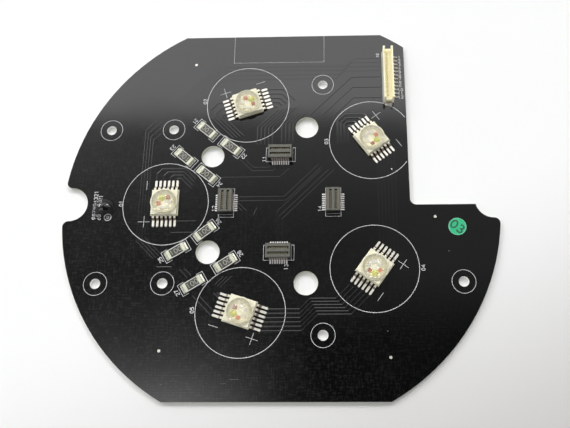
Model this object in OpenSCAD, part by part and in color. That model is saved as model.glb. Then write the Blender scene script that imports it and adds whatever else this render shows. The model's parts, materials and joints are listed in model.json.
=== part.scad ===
// Round circuit board with five multi-colour power LEDs set on a circle.
// The origin is the centre of the board's outline, on its underside.
// +X points to the notched right edge, +Y to the wire header, +Z out of the lit face.

/* [Board] */
// Diameter of the round outline
board_d = 152; // [149:0.5:158]
// Distance across the two flats
flat_w = 133.2; // [130:0.2:140]
// Thickness of the laminate
board_t = 1.6; // [1:0.1:3.2]
// Where the cut-out quadrant starts, to the right of the centre
cut_x = 45.2; // [44.6:0.1:50]
// Where the cut-out quadrant starts, above the centre line
cut_y = -1.2; // [-3:0.1:1]
// Radius in the inner corner of the cut-out
cut_fillet = 2.2; // [0.5:0.1:5]
// Width of the half-round edge notches
notch_w = 12.2; // [10:0.2:13]
// Depth of the edge notches from the round outline
notch_depth = 8.5; // [7.5:0.1:9.5]
// Rounding where the notches meet the outline
lip_r = 2; // [0.5:0.1:2.5]
// Rounding of the cut-out's outer corners
corner_r = 1; // [0.3:0.1:2]

/* [Holes] */
// Diameter of the screw holes
screw_d = 3.5; // [3.2:0.1:4.5]
// Outer screw holes, from the board's left and right ends
screw_edge_x = 14.2; // [12:0.1:16]
// Inner column of screw holes, from the centre
screw_inner_x = 39; // [37:0.1:41]
// Height of the left and right screw holes above and below the centre
screw_side_y = 28.3; // [26:0.1:31]
// Place of the middle pair of screw holes along X
screw_mid_x = 15; // [13:0.1:17]
// Middle pair of screw holes, from the two flats
screw_edge_y = 20.8; // [18:0.1:22]
// Diameter of the four locating holes
locating_d = 8.2; // [6:0.1:9]
// Circle that the locating holes lie on, as a radius
locating_circle_r = 30; // [29.5:0.1:30.5]

/* [LED package] */
// Circle that the LEDs lie on, as a radius
led_circle_r = 40; // [38:0.5:42]
// Width of the moulded body, along the board's radius
led_body_w = 9.5; // [9:0.1:10]
// Length of the moulded body, between its two rows of leads
led_body_l = 9.4; // [9.2:0.1:10]
// Height of the body's top face above the board
led_body_h = 2.1; // [1.9:0.1:3]
// Gap between the plastic and the board
led_standoff = 0.15; // [0.05:0.05:0.3]
// Slope of the moulded sides, as the amount they lean in above the leads
led_draft = 0.1; // [0.05:0.01:0.2]
// Width of the ledge that the lower half leaves at the parting line
parting_step = 0.2; // [0.05:0.05:0.25]
// Outer diameter of the round rim on the body
rim_d = 9.4; // [9:0.1:9.8]
// Height of the rim above the body's top face
rim_h = 0.4; // [0.2:0.05:0.8]
// Diameter of the clear lens
lens_d = 8.3; // [7.9:0.1:8.5]
// Height of the lens above the body's top face
lens_h = 3.7; // [2.9:0.1:4.2]
// Height of the lens's straight side
lens_side_h = 1.1; // [0.6:0.1:1.6]
// Diameter of the cup's mouth
cup_mouth_d = 7.6; // [7:0.1:7.8]
// Diameter of the cup's floor
cup_floor_d = 6; // [5.8:0.1:6.6]

/* [LED leads] */
// Leads on each side
lead_count = 6; // [4:1:6]
// Distance between neighbouring leads
lead_pitch = 1.5; // [1.4:0.01:1.55]
// Width of a lead
lead_w = 0.8; // [0.5:0.05:0.85]
// Thickness of a lead
lead_t = 0.25; // [0.2:0.01:0.3]
// Height of a lead's underside where it leaves the body
lead_exit_z = 0.85; // [0.8:0.01:0.95]
// Straight stretch of a lead outside the body
lead_shoulder = 0.7; // [0.5:0.05:0.9]
// Run of a lead's slope down to its foot
lead_slope = 0.75; // [0.5:0.05:0.9]
// Distance over the tips of opposite leads
lead_span = 16.8; // [16.2:0.1:18]
// Inside radius of a lead's bends
lead_bend_r = 0.15; // [0.05:0.01:0.25]
// Circle that the leads' inner ends reach, as a radius
post_circle_r = 2.55; // [2.5:0.01:2.7]
// Width of a lead's inner end
post_w = 0.55; // [0.3:0.05:0.6]

/* [LED chips] */
// Diameter of the slug's neck, which carries the chips
slug_neck_d = 4.4; // [4.2:0.05:4.5]
// Diameter of the slug's foot on the board
slug_foot_d = 6.2; // [5:0.1:7]
// Height of the slug's foot
slug_foot_h = 0.6; // [0.4:0.05:0.65]
// Side of a chip
chip_w = 0.9; // [0.6:0.05:0.95]
// Thickness of a chip
chip_t = 0.15; // [0.1:0.01:0.3]
// Circle that the chips lie on, as a radius
chip_circle_r = 1.4; // [1.3:0.01:1.45]

/* [Chip resistors] */
// Length of a resistor
res_l = 6.35; // [5:0.05:6.6]
// Width of a resistor
res_w = 3.2; // [2.5:0.05:3.4]
// Height of a resistor
res_h = 0.6; // [0.5:0.05:0.8]
// Length of a metal end cap
res_cap_l = 1; // [0.5:0.05:1.4]
// Thickness of the cap's metal
res_cap_t = 0.05; // [0.03:0.01:0.1]

/* [Board sockets] */
// Distance of the upper and lower sockets from the centre
socket_y = 18; // [17.5:0.1:19]
// Distance of the left and right sockets from the centre
socket_x = 18.6; // [18:0.1:20]
// Length of a socket's housing
socket_l = 8.5; // [8.2:0.1:9]
// Width of a socket's housing
socket_w = 5.1; // [4.8:0.05:5.4]
// Height of a socket's housing
socket_h = 3.7; // [3.4:0.1:4.5]
// Contacts in each row
socket_count = 8; // [4:1:8]
// Distance between neighbouring contacts
socket_pitch = 0.8; // [0.75:0.01:0.84]
// Distance between the two slots
slot_gap = 1.9; // [1.8:0.05:2.1]
// Width of a slot
slot_w = 0.8; // [0.7:0.05:0.9]
// Material left past the end of a slot
slot_end_wall = 0.75; // [0.5:0.05:0.85]
// Thickness of the floor under the slots
slot_floor = 0.8; // [0.5:0.05:1.1]
// Bevel round the housing's top
socket_bevel = 0.25; // [0.1:0.05:0.35]
// Width of a contact
contact_w = 0.44; // [0.3:0.01:0.48]
// Thickness of a contact
contact_t = 0.15; // [0.1:0.01:0.18]
// Distance over the tips of opposite contact feet
contact_span = 7.3; // [6.8:0.1:8]
// Height at which a contact crosses its wall
contact_cross_z = 3.1; // [2.6:0.05:3.2]
// Rise from the crossing to the nose that grips the plug
contact_nose_rise = 0.1; // [0:0.05:0.15]
// Air between a contact's nose and the slot's inner wall
contact_nose_gap = 0.15; // [0.1:0.05:0.3]

/* [Wire header] */
// Gap between the housing and the board's edge at the cut-out
header_edge_gap = 4.3; // [3.5:0.1:5.5]
// Gap between the housing's end and the upper flat
header_flat_gap = 7.6; // [7:0.1:8.6]
// Width of the header's housing
header_w = 3.65; // [3.4:0.05:4]
// Height of the header's housing
header_h = 4.7; // [4:0.1:5.5]
// Thickness of the header's long walls
header_wall = 0.45; // [0.3:0.05:0.55]
// Thickness of the header's end walls
header_end_wall = 0.7; // [0.5:0.05:0.9]
// Height of the header's inner floor
header_floor = 1.25; // [1.2:0.05:1.6]
// Contacts in the header
header_count = 12; // [4:1:12]
// Distance between neighbouring header contacts
header_pitch = 1.5; // [1.4:0.05:1.5]
// Housing past the middle of the last contact
header_margin = 2.25; // [2:0.05:2.4]
// Width of the notch in an end wall
header_notch_w = 2.1; // [1.2:0.05:2.3]
// Depth of the notch in an end wall
header_notch_h = 2.2; // [0.8:0.1:2.6]
// Width of a header contact
pin_w = 0.5; // [0.4:0.02:0.64]
// Height of a header contact's tip above the board
pin_top_z = 3.6; // [3:0.1:3.8]
// Thickness of a header contact's tail
pin_tail_t = 0.25; // [0.2:0.01:0.3]
// Reach of a header contact's foot past the housing
pin_reach = 1.9; // [1.5:0.1:2]
// Offset of the contact row from the housing's middle
pin_offset = -0.35; // [-0.5:0.05:0.2]
// Width of a solder tab
tab_w = 2.2; // [1.5:0.05:2.5]
// Thickness of a solder tab
tab_t = 0.25; // [0.2:0.01:0.35]
// Reach of a solder tab past the housing
tab_reach = 0.65; // [0.4:0.05:0.9]
// Height of a solder tab
tab_h = 1.1; // [0.8:0.1:1.8]

/* [Label and bumper] */
// Diameter of the round inspection label
label_d = 6.1; // [4:0.1:8]
// Thickness of the label
label_t = 0.1; // [0.05:0.01:0.2]
// Gap between the label and the edge of the cut-out above it
label_gap = 5; // [3:0.1:8]
// Distance of the label from the board's right end
label_edge = 12.1; // [10:0.1:14]
// Diameter of the clear bumper
bumper_d = 8; // [6:0.1:8.5]
// Height of the clear bumper
bumper_h = 2.2; // [1.5:0.1:3]
// Gap between the bumper and the left notch
bumper_gap = 1.8; // [1:0.1:3]
// Drop of the bumper's middle below the notch's middle
bumper_drop = 1.6; // [0:0.1:2]

/* [Hidden] */
$fn = 96;
// Air between a contact and the plastic round it
clear = 0.02;
// Amount by which a cut runs past a face
over = 1;

board_r = board_d / 2;
notch_r = notch_w / 2;
notch_x = board_r - notch_depth + notch_r;
screw_outer_x = board_r - screw_edge_x;
screw_mid_y = flat_w / 2 - screw_edge_y;

led_angles = [180, 108, 36, -36, -108];
locating_angles = [144, 72, -72, -144];

// Height of the cup's floor, which is level with the leads' upper face
floor_z = lead_exit_z + lead_t;
lens_r = lens_d / 2;
lens_top_z = led_body_h + lens_h;
lens_side_z = led_body_h + lens_side_h;
// Radius and middle of the ball whose cap is the lens's top
cap_h = lens_h - lens_side_h;
ball_r = (lens_r * lens_r + cap_h * cap_h) / (2 * cap_h);
ball_z = lens_top_z - ball_r;

// Distance along the slanted line, distance across it, and turn from that line
// The first four lie by the upper slanted line, the last four by the lower one
resistor_places = [
    [38.1, -6.7, -3.4], [26.9, -6.6, -1], [38.1, 6.1, -3.8], [27.3, 6.7, -3],
    [38.5, 6.7, -5], [26.9, 6.7, 2.5], [40, -6.2, -4.4], [27.2, -6.7, -3]
];

// Middle and turn of each socket
socket_places = [
    [0, socket_y, 0], [-socket_x, 0, 90], [0, -socket_y, 0], [socket_x, 0, 90]
];

slot_l = socket_l - 2 * slot_end_wall;
slit_w = contact_w + 2 * clear;
slit_inner_y = slot_gap / 2;

header_l = (header_count - 1) * header_pitch + 2 * header_margin;
header_x = cut_x - header_edge_gap - header_w / 2;
header_y = flat_w / 2 - header_flat_gap - header_l / 2;
pin_x = pin_offset;
pin_run_z = header_floor - 0.3 - pin_tail_t;

label_x = board_r - label_edge - label_d / 2;
label_y = cut_y - label_gap - label_d / 2;
bumper_x = -(board_r - notch_depth - bumper_gap - bumper_d / 2);

board_black = [0.11, 0.11, 0.12];
ivory = [0.93, 0.91, 0.79];
silver = [0.86, 0.86, 0.83];
copper = [0.78, 0.62, 0.46];

// Points of an arc round c from angle a0 to a1
function arc(c, r, a0, a1, steps = 3) =
    [for (k = [0:steps]) c + r * [cos(a0 + (a1 - a0) * k / steps), sin(a0 + (a1 - a0) * k / steps)]];

// Outline of a strip of thickness t that leaves at height z, slopes down and ends in a flat foot
// It starts at y0, bends down at y1, lands at y2 and ends at y3, all along its lower face
function gull_wing(y0, y1, y2, y3, z, t, r) =
    let (
        run = y2 - y1,
        slope = atan2(z, run),
        tangent_in = r * tan(slope / 2),
        tangent_out = (r + t) * tan(slope / 2),
        crest = [y1 - tangent_in, z - r],
        valley = [y2 + tangent_out, r + t]
    )
    concat(
        [[y0, z]],
        arc(crest, r, 90, 90 - slope),
        arc(valley, r + t, 270 - slope, 270),
        [[y3, 0], [y3, t]],
        arc(valley, r, 270, 270 - slope),
        arc(crest, r + t, 90 - slope, 90),
        [[y0, z + t]]
    );

// Middle of item i in a row of n at the given pitch
function in_row(i, n, pitch) = (i - (n - 1) / 2) * pitch;

// Board

// Corner between a horizontal edge at height y and the round outline, rounded with radius r
// side is 1 for the board's right half and -1 for its left, up is 1 if the board lies above
module outline_lip(y, r, side, up) {
    cy = y + up * r;
    cx = side * sqrt(pow(board_r - r, 2) - cy * cy);
    far = 1.2 * board_r / (board_r - r);
    difference() {
        polygon([[cx, cy], [cx, y], [side * 1.2 * board_r, y], [cx * far, cy * far]]);
        translate([cx, cy]) circle(r = r);
    }
}

// Corner between the cut-out's upright edge and the round outline
module upright_lip(x, r) {
    cx = x - r;
    cy = sqrt(pow(board_r - r, 2) - cx * cx);
    far = 1.2 * board_r / (board_r - r);
    difference() {
        polygon([[cx, cy], [x, cy], [x, 1.2 * board_r], [cx * far, cy * far]]);
        translate([cx, cy]) circle(r = r);
    }
}

// Corner between the cut-out's level edge and the right notch
module notch_corner(r) {
    cy = cut_y - r;
    cx = notch_x - sqrt(pow(notch_r + r, 2) - cy * cy);
    toward = notch_r / (notch_r + r);
    difference() {
        polygon([
            [cx, cy], [cx, cut_y], [notch_x, cut_y],
            [notch_x, cy * (1 - toward)],
            [notch_x + (cx - notch_x) * toward, cy * toward]
        ]);
        translate([cx, cy]) circle(r = r);
    }
}

module edge_notch() {
    translate([notch_x, 0]) circle(r = notch_r);
    translate([notch_x, -notch_r]) square([board_r, notch_w]);
}

module cut_quadrant() {
    difference() {
        translate([cut_x, cut_y]) square(board_r);
        translate([cut_x, cut_y]) difference() {
            square(cut_fillet);
            translate([cut_fillet, cut_fillet]) circle(r = cut_fillet);
        }
    }
}

module board_outline() {
    difference() {
        intersection() {
            circle(r = board_r, $fn = 360);
            square([2 * board_r + over, flat_w], center = true);
        }
        cut_quadrant();
        edge_notch();
        mirror([1, 0]) edge_notch();
        outline_lip(notch_r, lip_r, -1, 1);
        outline_lip(-notch_r, lip_r, -1, -1);
        outline_lip(-notch_r, lip_r, 1, -1);
        upright_lip(cut_x, corner_r);
        notch_corner(corner_r / 2);
    }
}

module screw_holes() {
    for (x = [-screw_outer_x, -screw_inner_x], y = [-screw_side_y, screw_side_y])
        translate([x, y, -over]) cylinder(d = screw_d, h = board_t + 2 * over);
    for (y = [-screw_mid_y, screw_mid_y])
        translate([screw_mid_x, y, -over]) cylinder(d = screw_d, h = board_t + 2 * over);
    translate([screw_outer_x, -screw_side_y, -over]) cylinder(d = screw_d, h = board_t + 2 * over);
}

module locating_holes() {
    for (a = locating_angles)
        rotate([0, 0, a]) translate([locating_circle_r, 0, -over])
            cylinder(d = locating_d, h = board_t + 2 * over);
}

module circuit_board() {
    color(board_black)
    difference() {
        linear_extrude(board_t) board_outline();
        screw_holes();
        locating_holes();
    }
}

// LED package, drawn on the board's face with +X away from the board's middle

module at_led(i) {
    rotate([0, 0, led_angles[i - 1]]) translate([led_circle_r, 0, board_t]) children();
}

// Profile across a moulded body of width w: widest at the leads, leaning in above and below
// The upper half stands back from the lower one by the ledge at the parting line
module drafted_profile(w) {
    half = w / 2;
    upper = half - parting_step;
    polygon([
        [-half + led_draft / 2, led_standoff], [half - led_draft / 2, led_standoff],
        [half, lead_exit_z], [half, floor_z], [upper, floor_z],
        [upper - led_draft, led_body_h], [-upper + led_draft, led_body_h],
        [-upper, floor_z], [-half, floor_z], [-half, lead_exit_z]
    ]);
}

module drafted_body() {
    intersection() {
        rotate([90, 0, 0]) translate([0, 0, -led_body_l]) linear_extrude(2 * led_body_l)
            drafted_profile(led_body_w);
        rotate([90, 0, 90]) translate([0, 0, -led_body_w]) linear_extrude(2 * led_body_w)
            drafted_profile(led_body_l);
    }
}

module cup_space() {
    translate([0, 0, floor_z])
        cylinder(d1 = cup_floor_d, d2 = cup_mouth_d, h = led_body_h - floor_z);
    translate([0, 0, led_body_h]) cylinder(d = lens_d, h = rim_h + over);
}

module slug_shape() {
    cylinder(d = slug_foot_d, h = slug_foot_h);
    cylinder(d = slug_neck_d, h = floor_z);
}

// Inner end of a lead, fanning in from the body's side to the cup
module lead_finger(i) {
    side_y = led_body_l / 2;
    x = in_row(i, lead_count, lead_pitch);
    spread = 90 - in_row(i, lead_count, 144 / lead_count);
    post = post_circle_r * [cos(spread), sin(spread)];
    along = [x, side_y] - post;
    across = [-along[1], along[0]] / norm(along) * post_w / 2;
    translate([0, 0, lead_exit_z]) linear_extrude(lead_t)
        polygon([
            post + across, post - across, [x + lead_w / 2, side_y], [x - lead_w / 2, side_y]
        ]);
}

module one_lead(i) {
    side_y = led_body_l / 2;
    x = in_row(i, lead_count, lead_pitch);
    lead_finger(i);
    translate([x - lead_w / 2, 0, 0]) rotate([90, 0, 90]) linear_extrude(lead_w)
        polygon(gull_wing(
            side_y - lead_w / 2, side_y + lead_shoulder, side_y + lead_shoulder + lead_slope,
            lead_span / 2, lead_exit_z, lead_t, lead_bend_r
        ));
}

module lead_set() {
    for (i = [0:lead_count - 1]) {
        one_lead(i);
        rotate([0, 0, 180]) one_lead(i);
    }
}

module chip_set() {
    for (k = [0:5])
        rotate([0, 0, 5 + 60 * k]) translate([chip_circle_r, 0, floor_z]) rotate([0, 0, -5 - 60 * k])
            translate([-chip_w / 2, -chip_w / 2, 0]) cube([chip_w, chip_w, chip_t]);
}

module led_housing(i) {
    color(ivory) at_led(i)
    difference() {
        union() {
            drafted_body();
            translate([0, 0, led_body_h]) cylinder(d = rim_d, h = rim_h);
        }
        cup_space();
        slug_shape();
        lead_set();
    }
}

module led_leads(i) {
    color(silver) at_led(i) lead_set();
}

module led_slug(i) {
    color(copper) at_led(i) slug_shape();
}

module led_chips(i) {
    color([0.93, 0.66, 0.32]) at_led(i) chip_set();
}

module led_lens(i) {
    color([0.95, 0.95, 0.86, 0.5]) at_led(i)
    difference() {
        rotate_extrude() {
            intersection() {
                translate([0, ball_z]) circle(r = ball_r);
                translate([0, lens_side_z]) square([lens_r, cap_h + over]);
            }
            polygon([
                [0, floor_z], [cup_floor_d / 2, floor_z], [cup_mouth_d / 2, led_body_h],
                [lens_r, led_body_h], [lens_r, lens_side_z], [0, lens_side_z]
            ]);
        }
        chip_set();
    }
}

// Chip resistors, drawn lying along X on the board's face

module at_resistor(i) {
    place = resistor_places[i - 1];
    line = i <= 4 ? 144 : -144;
    hand = i <= 4 ? 1 : -1;
    rotate([0, 0, line]) translate([place[0], hand * place[1], board_t])
        rotate([0, 0, place[2]]) children();
}

module resistor_body(i) {
    color([0.2, 0.2, 0.19]) at_resistor(i)
        translate([-res_l / 2 + res_cap_t, -res_w / 2, res_cap_t])
            cube([res_l - 2 * res_cap_t, res_w, res_h - 2 * res_cap_t]);
}

module resistor_caps(i) {
    color(silver) at_resistor(i)
    for (side = [0, 180])
        rotate([0, 0, side]) difference() {
            translate([res_l / 2 - res_cap_l, -res_w / 2, 0]) cube([res_cap_l, res_w, res_h]);
            translate([0, -res_w, res_cap_t])
                cube([res_l / 2 - res_cap_t, 2 * res_w, res_h - 2 * res_cap_t]);
        }
}

// Board-to-board sockets, drawn with their slots along X

module at_socket(i) {
    place = socket_places[i - 1];
    translate([place[0], place[1], board_t]) rotate([0, 0, place[2]]) children();
}

// Upright profile of a housing of width w with its upper edges bevelled
module bevelled_profile(w, h, bevel) {
    polygon([
        [-w / 2, 0], [w / 2, 0], [w / 2, h - bevel], [w / 2 - bevel, h],
        [-w / 2 + bevel, h], [-w / 2, h - bevel]
    ]);
}

module socket_block() {
    intersection() {
        rotate([90, 0, 0]) translate([0, 0, -socket_w]) linear_extrude(2 * socket_w)
            bevelled_profile(socket_l, socket_h, socket_bevel);
        rotate([90, 0, 90]) translate([0, 0, -socket_l]) linear_extrude(2 * socket_l)
            bevelled_profile(socket_w, socket_h, socket_bevel);
    }
}

module socket_slots() {
    for (side = [-1, 1])
        translate([-slot_l / 2, side * slot_gap / 2 - slot_w / 2, slot_floor])
            cube([slot_l, slot_w, socket_h]);
}

module contact_slits() {
    for (i = [0:socket_count - 1], side = [0, 180])
        rotate([0, 0, side])
            translate([in_row(i, socket_count, socket_pitch) - slit_w / 2, slit_inner_y, -over])
                cube([slit_w, socket_w, contact_cross_z + contact_t + clear + over]);
}

// Strip that stands on the board, climbs the outer wall, crosses it and springs into the slot
// Its nose reaches across the slot just under the mouth, and its tail lies back against the wall
module contact_profile() {
    outer_y = socket_w / 2;
    crest_z = contact_cross_z + contact_t;
    wall_y = slot_gap / 2 + slot_w / 2;
    nose_y = slot_gap / 2 - slot_w / 2 + contact_nose_gap;
    nose_z = crest_z + contact_nose_rise;
    tail_z = slot_floor + contact_t;
    polygon([
        [contact_span / 2, 0], [contact_span / 2, contact_t], [outer_y, contact_t],
        [outer_y, crest_z], [wall_y - contact_t, crest_z],
        [nose_y, nose_z], [wall_y - contact_t, tail_z], [wall_y, tail_z],
        [nose_y + contact_t, nose_z - contact_t], [wall_y, contact_cross_z],
        [outer_y - contact_t, contact_cross_z], [outer_y - contact_t, 0]
    ]);
}

module socket_housing(i) {
    color([0.45, 0.45, 0.4]) at_socket(i)
    difference() {
        socket_block();
        socket_slots();
        contact_slits();
    }
}

module socket_contacts(i) {
    color(silver) at_socket(i)
    for (k = [0:socket_count - 1], side = [0, 180])
        rotate([0, 0, side])
            translate([in_row(k, socket_count, socket_pitch) - contact_w / 2, 0, 0])
                rotate([90, 0, 90]) linear_extrude(contact_w) contact_profile();
}

// Wire header, drawn with its contacts in a row along Y and their feet on the +X side

module at_header() {
    translate([header_x, header_y, board_t]) children();
}

// Slit under the floor and square hole through it for each contact
module pin_spaces() {
    gap_w = pin_w + 2 * clear;
    for (i = [0:header_count - 1])
        translate([0, in_row(i, header_count, header_pitch) - gap_w / 2, 0]) {
            translate([pin_x - gap_w / 2, 0, -over])
                cube([header_w, gap_w, pin_run_z + pin_tail_t + clear + over]);
            translate([pin_x - gap_w / 2, 0, -over]) cube([gap_w, gap_w, header_h]);
        }
}

module tab_pockets() {
    for (side = [0, 180])
        rotate([0, 0, side]) translate([-tab_w / 2, header_l / 2 - tab_t, -over])
            cube([tab_w, tab_t + over, tab_h + over]);
}

module header_housing() {
    inner_w = header_w - 2 * header_wall;
    inner_l = header_l - 2 * header_end_wall;
    color([0.94, 0.91, 0.74]) at_header()
    difference() {
        translate([-header_w / 2, -header_l / 2, 0]) cube([header_w, header_l, header_h]);
        translate([-inner_w / 2, -inner_l / 2, header_floor]) cube([inner_w, inner_l, header_h]);
        translate([-header_notch_w / 2, -header_l, header_h - header_notch_h])
            cube([header_notch_w, 2 * header_l, header_h]);
        pin_spaces();
        tab_pockets();
    }
}

// Post with a pointed tip, joined at its foot to a tail that leaves under the floor
module pin_profile() {
    half = pin_w / 2;
    tip = half / 2;
    union() {
        polygon([
            [pin_x - half, pin_run_z], [pin_x + half, pin_run_z], [pin_x + half, pin_top_z - tip],
            [pin_x + tip, pin_top_z], [pin_x - tip, pin_top_z], [pin_x - half, pin_top_z - tip]
        ]);
        polygon(gull_wing(
            pin_x, header_w / 2 + 0.25, header_w / 2 + 0.8, header_w / 2 + pin_reach,
            pin_run_z, pin_tail_t, 0.1
        ));
    }
}

module header_contacts() {
    color(silver) at_header()
    for (i = [0:header_count - 1])
        translate([0, in_row(i, header_count, header_pitch) + pin_w / 2, 0])
            rotate([90, 0, 0]) linear_extrude(pin_w) pin_profile();
}

module header_tabs() {
    color(silver) at_header()
    for (side = [0, 180])
        rotate([0, 0, side]) translate([-tab_w / 2, header_l / 2, 0])
            rotate([90, 0, 90]) linear_extrude(tab_w)
                polygon([
                    [-tab_t, 0], [tab_reach, 0], [tab_reach, tab_t], [0, tab_t],
                    [0, tab_h], [-tab_t, tab_h]
                ]);
}

// Label and bumper

module inspection_label() {
    color([0.24, 0.85, 0.55]) translate([label_x, label_y, board_t])
        cylinder(d = label_d, h = label_t);
}

module clear_bumper() {
    half = bumper_d / 2;
    cap_r = (half * half + bumper_h * bumper_h) / (2 * bumper_h);
    color([0.85, 0.87, 0.87, 0.4]) translate([bumper_x, -bumper_drop, board_t])
    rotate_extrude()
        intersection() {
            translate([0, bumper_h - cap_r]) circle(r = cap_r);
            square([half + over, bumper_h + over]);
        }
}

circuit_board();
led_housing(1);  // led_1_housing
led_leads(1);  // led_1_leads
led_slug(1);  // led_1_slug
led_chips(1);  // led_1_chips
led_lens(1);  // led_1_lens
led_housing(2);  // led_2_housing
led_leads(2);  // led_2_leads
led_slug(2);  // led_2_slug
led_chips(2);  // led_2_chips
led_lens(2);  // led_2_lens
led_housing(3);  // led_3_housing
led_leads(3);  // led_3_leads
led_slug(3);  // led_3_slug
led_chips(3);  // led_3_chips
led_lens(3);  // led_3_lens
led_housing(4);  // led_4_housing
led_leads(4);  // led_4_leads
led_slug(4);  // led_4_slug
led_chips(4);  // led_4_chips
led_lens(4);  // led_4_lens
led_housing(5);  // led_5_housing
led_leads(5);  // led_5_leads
led_slug(5);  // led_5_slug
led_chips(5);  // led_5_chips
led_lens(5);  // led_5_lens
resistor_body(1);  // resistor_1_body
resistor_caps(1);  // resistor_1_caps
resistor_body(2);  // resistor_2_body
resistor_caps(2);  // resistor_2_caps
resistor_body(3);  // resistor_3_body
resistor_caps(3);  // resistor_3_caps
resistor_body(4);  // resistor_4_body
resistor_caps(4);  // resistor_4_caps
resistor_body(5);  // resistor_5_body
resistor_caps(5);  // resistor_5_caps
resistor_body(6);  // resistor_6_body
resistor_caps(6);  // resistor_6_caps
resistor_body(7);  // resistor_7_body
resistor_caps(7);  // resistor_7_caps
resistor_body(8);  // resistor_8_body
resistor_caps(8);  // resistor_8_caps
socket_housing(1);  // socket_1_housing
socket_contacts(1);  // socket_1_contacts
socket_housing(2);  // socket_2_housing
socket_contacts(2);  // socket_2_contacts
socket_housing(3);  // socket_3_housing
socket_contacts(3);  // socket_3_contacts
socket_housing(4);  // socket_4_housing
socket_contacts(4);  // socket_4_contacts
header_housing();
header_contacts();
header_tabs();
inspection_label();
clear_bumper();
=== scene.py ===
# %% [markdown]
# # A round LED board seen from above
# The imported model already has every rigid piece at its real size: the laminate, the LEDs with their leads,
# slugs, chips and lenses, the resistors, the sockets and the wire header. This lesson gives them their
# finishes and adds what is too thin for a solid: copper tracks, solder, ink, bond wires and small marks.
# All new shapes are worked out in millimetres on the board's top face and turned into metres at the end.

# %% Load the frame
import json
import math

import bpy
import numpy as np
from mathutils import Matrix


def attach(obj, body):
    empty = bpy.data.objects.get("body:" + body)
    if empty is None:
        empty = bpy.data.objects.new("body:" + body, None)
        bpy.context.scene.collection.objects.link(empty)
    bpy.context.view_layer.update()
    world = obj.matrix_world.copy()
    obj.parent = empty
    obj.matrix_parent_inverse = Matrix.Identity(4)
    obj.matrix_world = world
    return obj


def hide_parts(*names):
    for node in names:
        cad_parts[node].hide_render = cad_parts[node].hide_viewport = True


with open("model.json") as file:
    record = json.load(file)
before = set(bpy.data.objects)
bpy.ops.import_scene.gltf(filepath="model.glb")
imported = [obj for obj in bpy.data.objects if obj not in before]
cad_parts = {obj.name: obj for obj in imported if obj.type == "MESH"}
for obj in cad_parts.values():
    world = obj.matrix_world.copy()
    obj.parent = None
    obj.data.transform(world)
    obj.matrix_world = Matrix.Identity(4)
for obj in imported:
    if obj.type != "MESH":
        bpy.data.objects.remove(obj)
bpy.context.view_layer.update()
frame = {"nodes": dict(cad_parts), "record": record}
nodes = frame["nodes"]
MM = 0.001
print("nodes:", len(nodes))

# %% [markdown]
# ## Where things are
# Nothing is placed by eye: the middle of each LED, resistor and socket is read from the solid that stands
# there, and its turn from the solid's own corners. A piece's local frame is then a point and an angle. An
# LED's frame has its first axis towards the board's middle and its second axis along the rows of leads.
# The screw holes come from the mounts that the record names. Without a spacing along an axis, the places
# to its two sides are one and the same, so they are kept as a set.


# %% Read places from the solids
def corners_mm(node):
    """The node's distinct vertices in millimetres, as rows of x, y, z."""
    mesh = nodes[node].data
    flat = np.empty(len(mesh.vertices) * 3, np.float32)
    mesh.vertices.foreach_get("co", flat)
    return np.unique(np.round(flat.reshape(-1, 3) / MM, 4), axis=0)


def middle_mm(node):
    """Halfway between the node's lowest and highest corners."""
    points = corners_mm(node)
    return (points.min(0) + points.max(0)) / 2


def long_axis_deg(node):
    """Angle of the direction in which the node's corners spread most: the top eigenvector of their
    covariance, folded into a half turn."""
    flat = corners_mm(node)[:, :2]
    values, vectors = np.linalg.eigh(np.cov((flat - flat.mean(0)).T))
    x, y = vectors[:, values.argmax()]
    return math.degrees(math.atan2(y, x)) % 180


def place_of(node):
    """A piece's own frame: the x and y of its middle, and its turn."""
    return (*middle_mm(node)[:2], long_axis_deg(node))


LEDS = [f"led_{i}" for i in range(1, 6)]
RESISTORS = [f"resistor_{i}" for i in range(1, 9)]
SOCKETS = [f"socket_{i}" for i in range(1, 5)]
board_top = corners_mm("circuit_board")[:, 2].max()
leds = []
for name in LEDS:
    x, y, _ = middle_mm(f"{name}_slug")
    leds.append((x, y, math.degrees(math.atan2(y, x)) - 180))
resistors = [place_of(f"{name}_body") for name in RESISTORS]
sockets = [place_of(f"{name}_housing") for name in SOCKETS]
header_x, header_y, _ = middle_mm("header_housing")
screw_holes = []
for mount in frame["record"]["mounts"]:
    if mount["name"].endswith(("screw_holes", "screw_hole")):
        x, y = [value / MM for value in mount["pos_m"][:2]]
        half_x, half_y = [mount["dims"].get(f"spacing_{axis}_mm", 0) / 2 for axis in "xy"]
        screw_holes += [(x + to_x, y + to_y) for to_x in sorted({-half_x, half_x})
                        for to_y in sorted({-half_y, half_y})]
print("board top at", round(float(board_top), 3), "mm; LED turns", [round(turn) for _, _, turn in leds])
print(len(screw_holes), "screw holes")

# %% [markdown]
# ## Camera
# The photograph was taken from in front of the board and a little to its right, looking down. The camera's
# place, turn and lens were solved from the board's holes and the circle of LEDs. The picture was trimmed
# after it was taken, so the lens's axis isn't in its middle: that is what the small shift is for.

# %% Camera
camera_data = bpy.data.cameras.new("camera")
camera_data.sensor_width = 36
camera_data.lens = 40.153
camera_data.shift_x = -0.0645
camera_data.clip_start = 0.005
camera = bpy.data.objects.new("camera", camera_data)
camera.location = np.array([20.505, -71.722, 210.315]) * MM
camera.rotation_euler = [math.radians(a) for a in (17.882, 1.6275, -0.0336)]
bpy.context.scene.collection.objects.link(camera)
bpy.context.scene.camera = camera
print("camera", round(camera.location.length / MM), "mm from the middle of the board")

# %% [markdown]
# ## A small language for shaders
# A node graph is easier to read as a sum than as a list of links. Wire wraps one output socket, and each
# operator on it adds the Math node of that name, also when a plain number stands first. Graph adds any
# other node from its type, its settings and its inputs.


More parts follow.
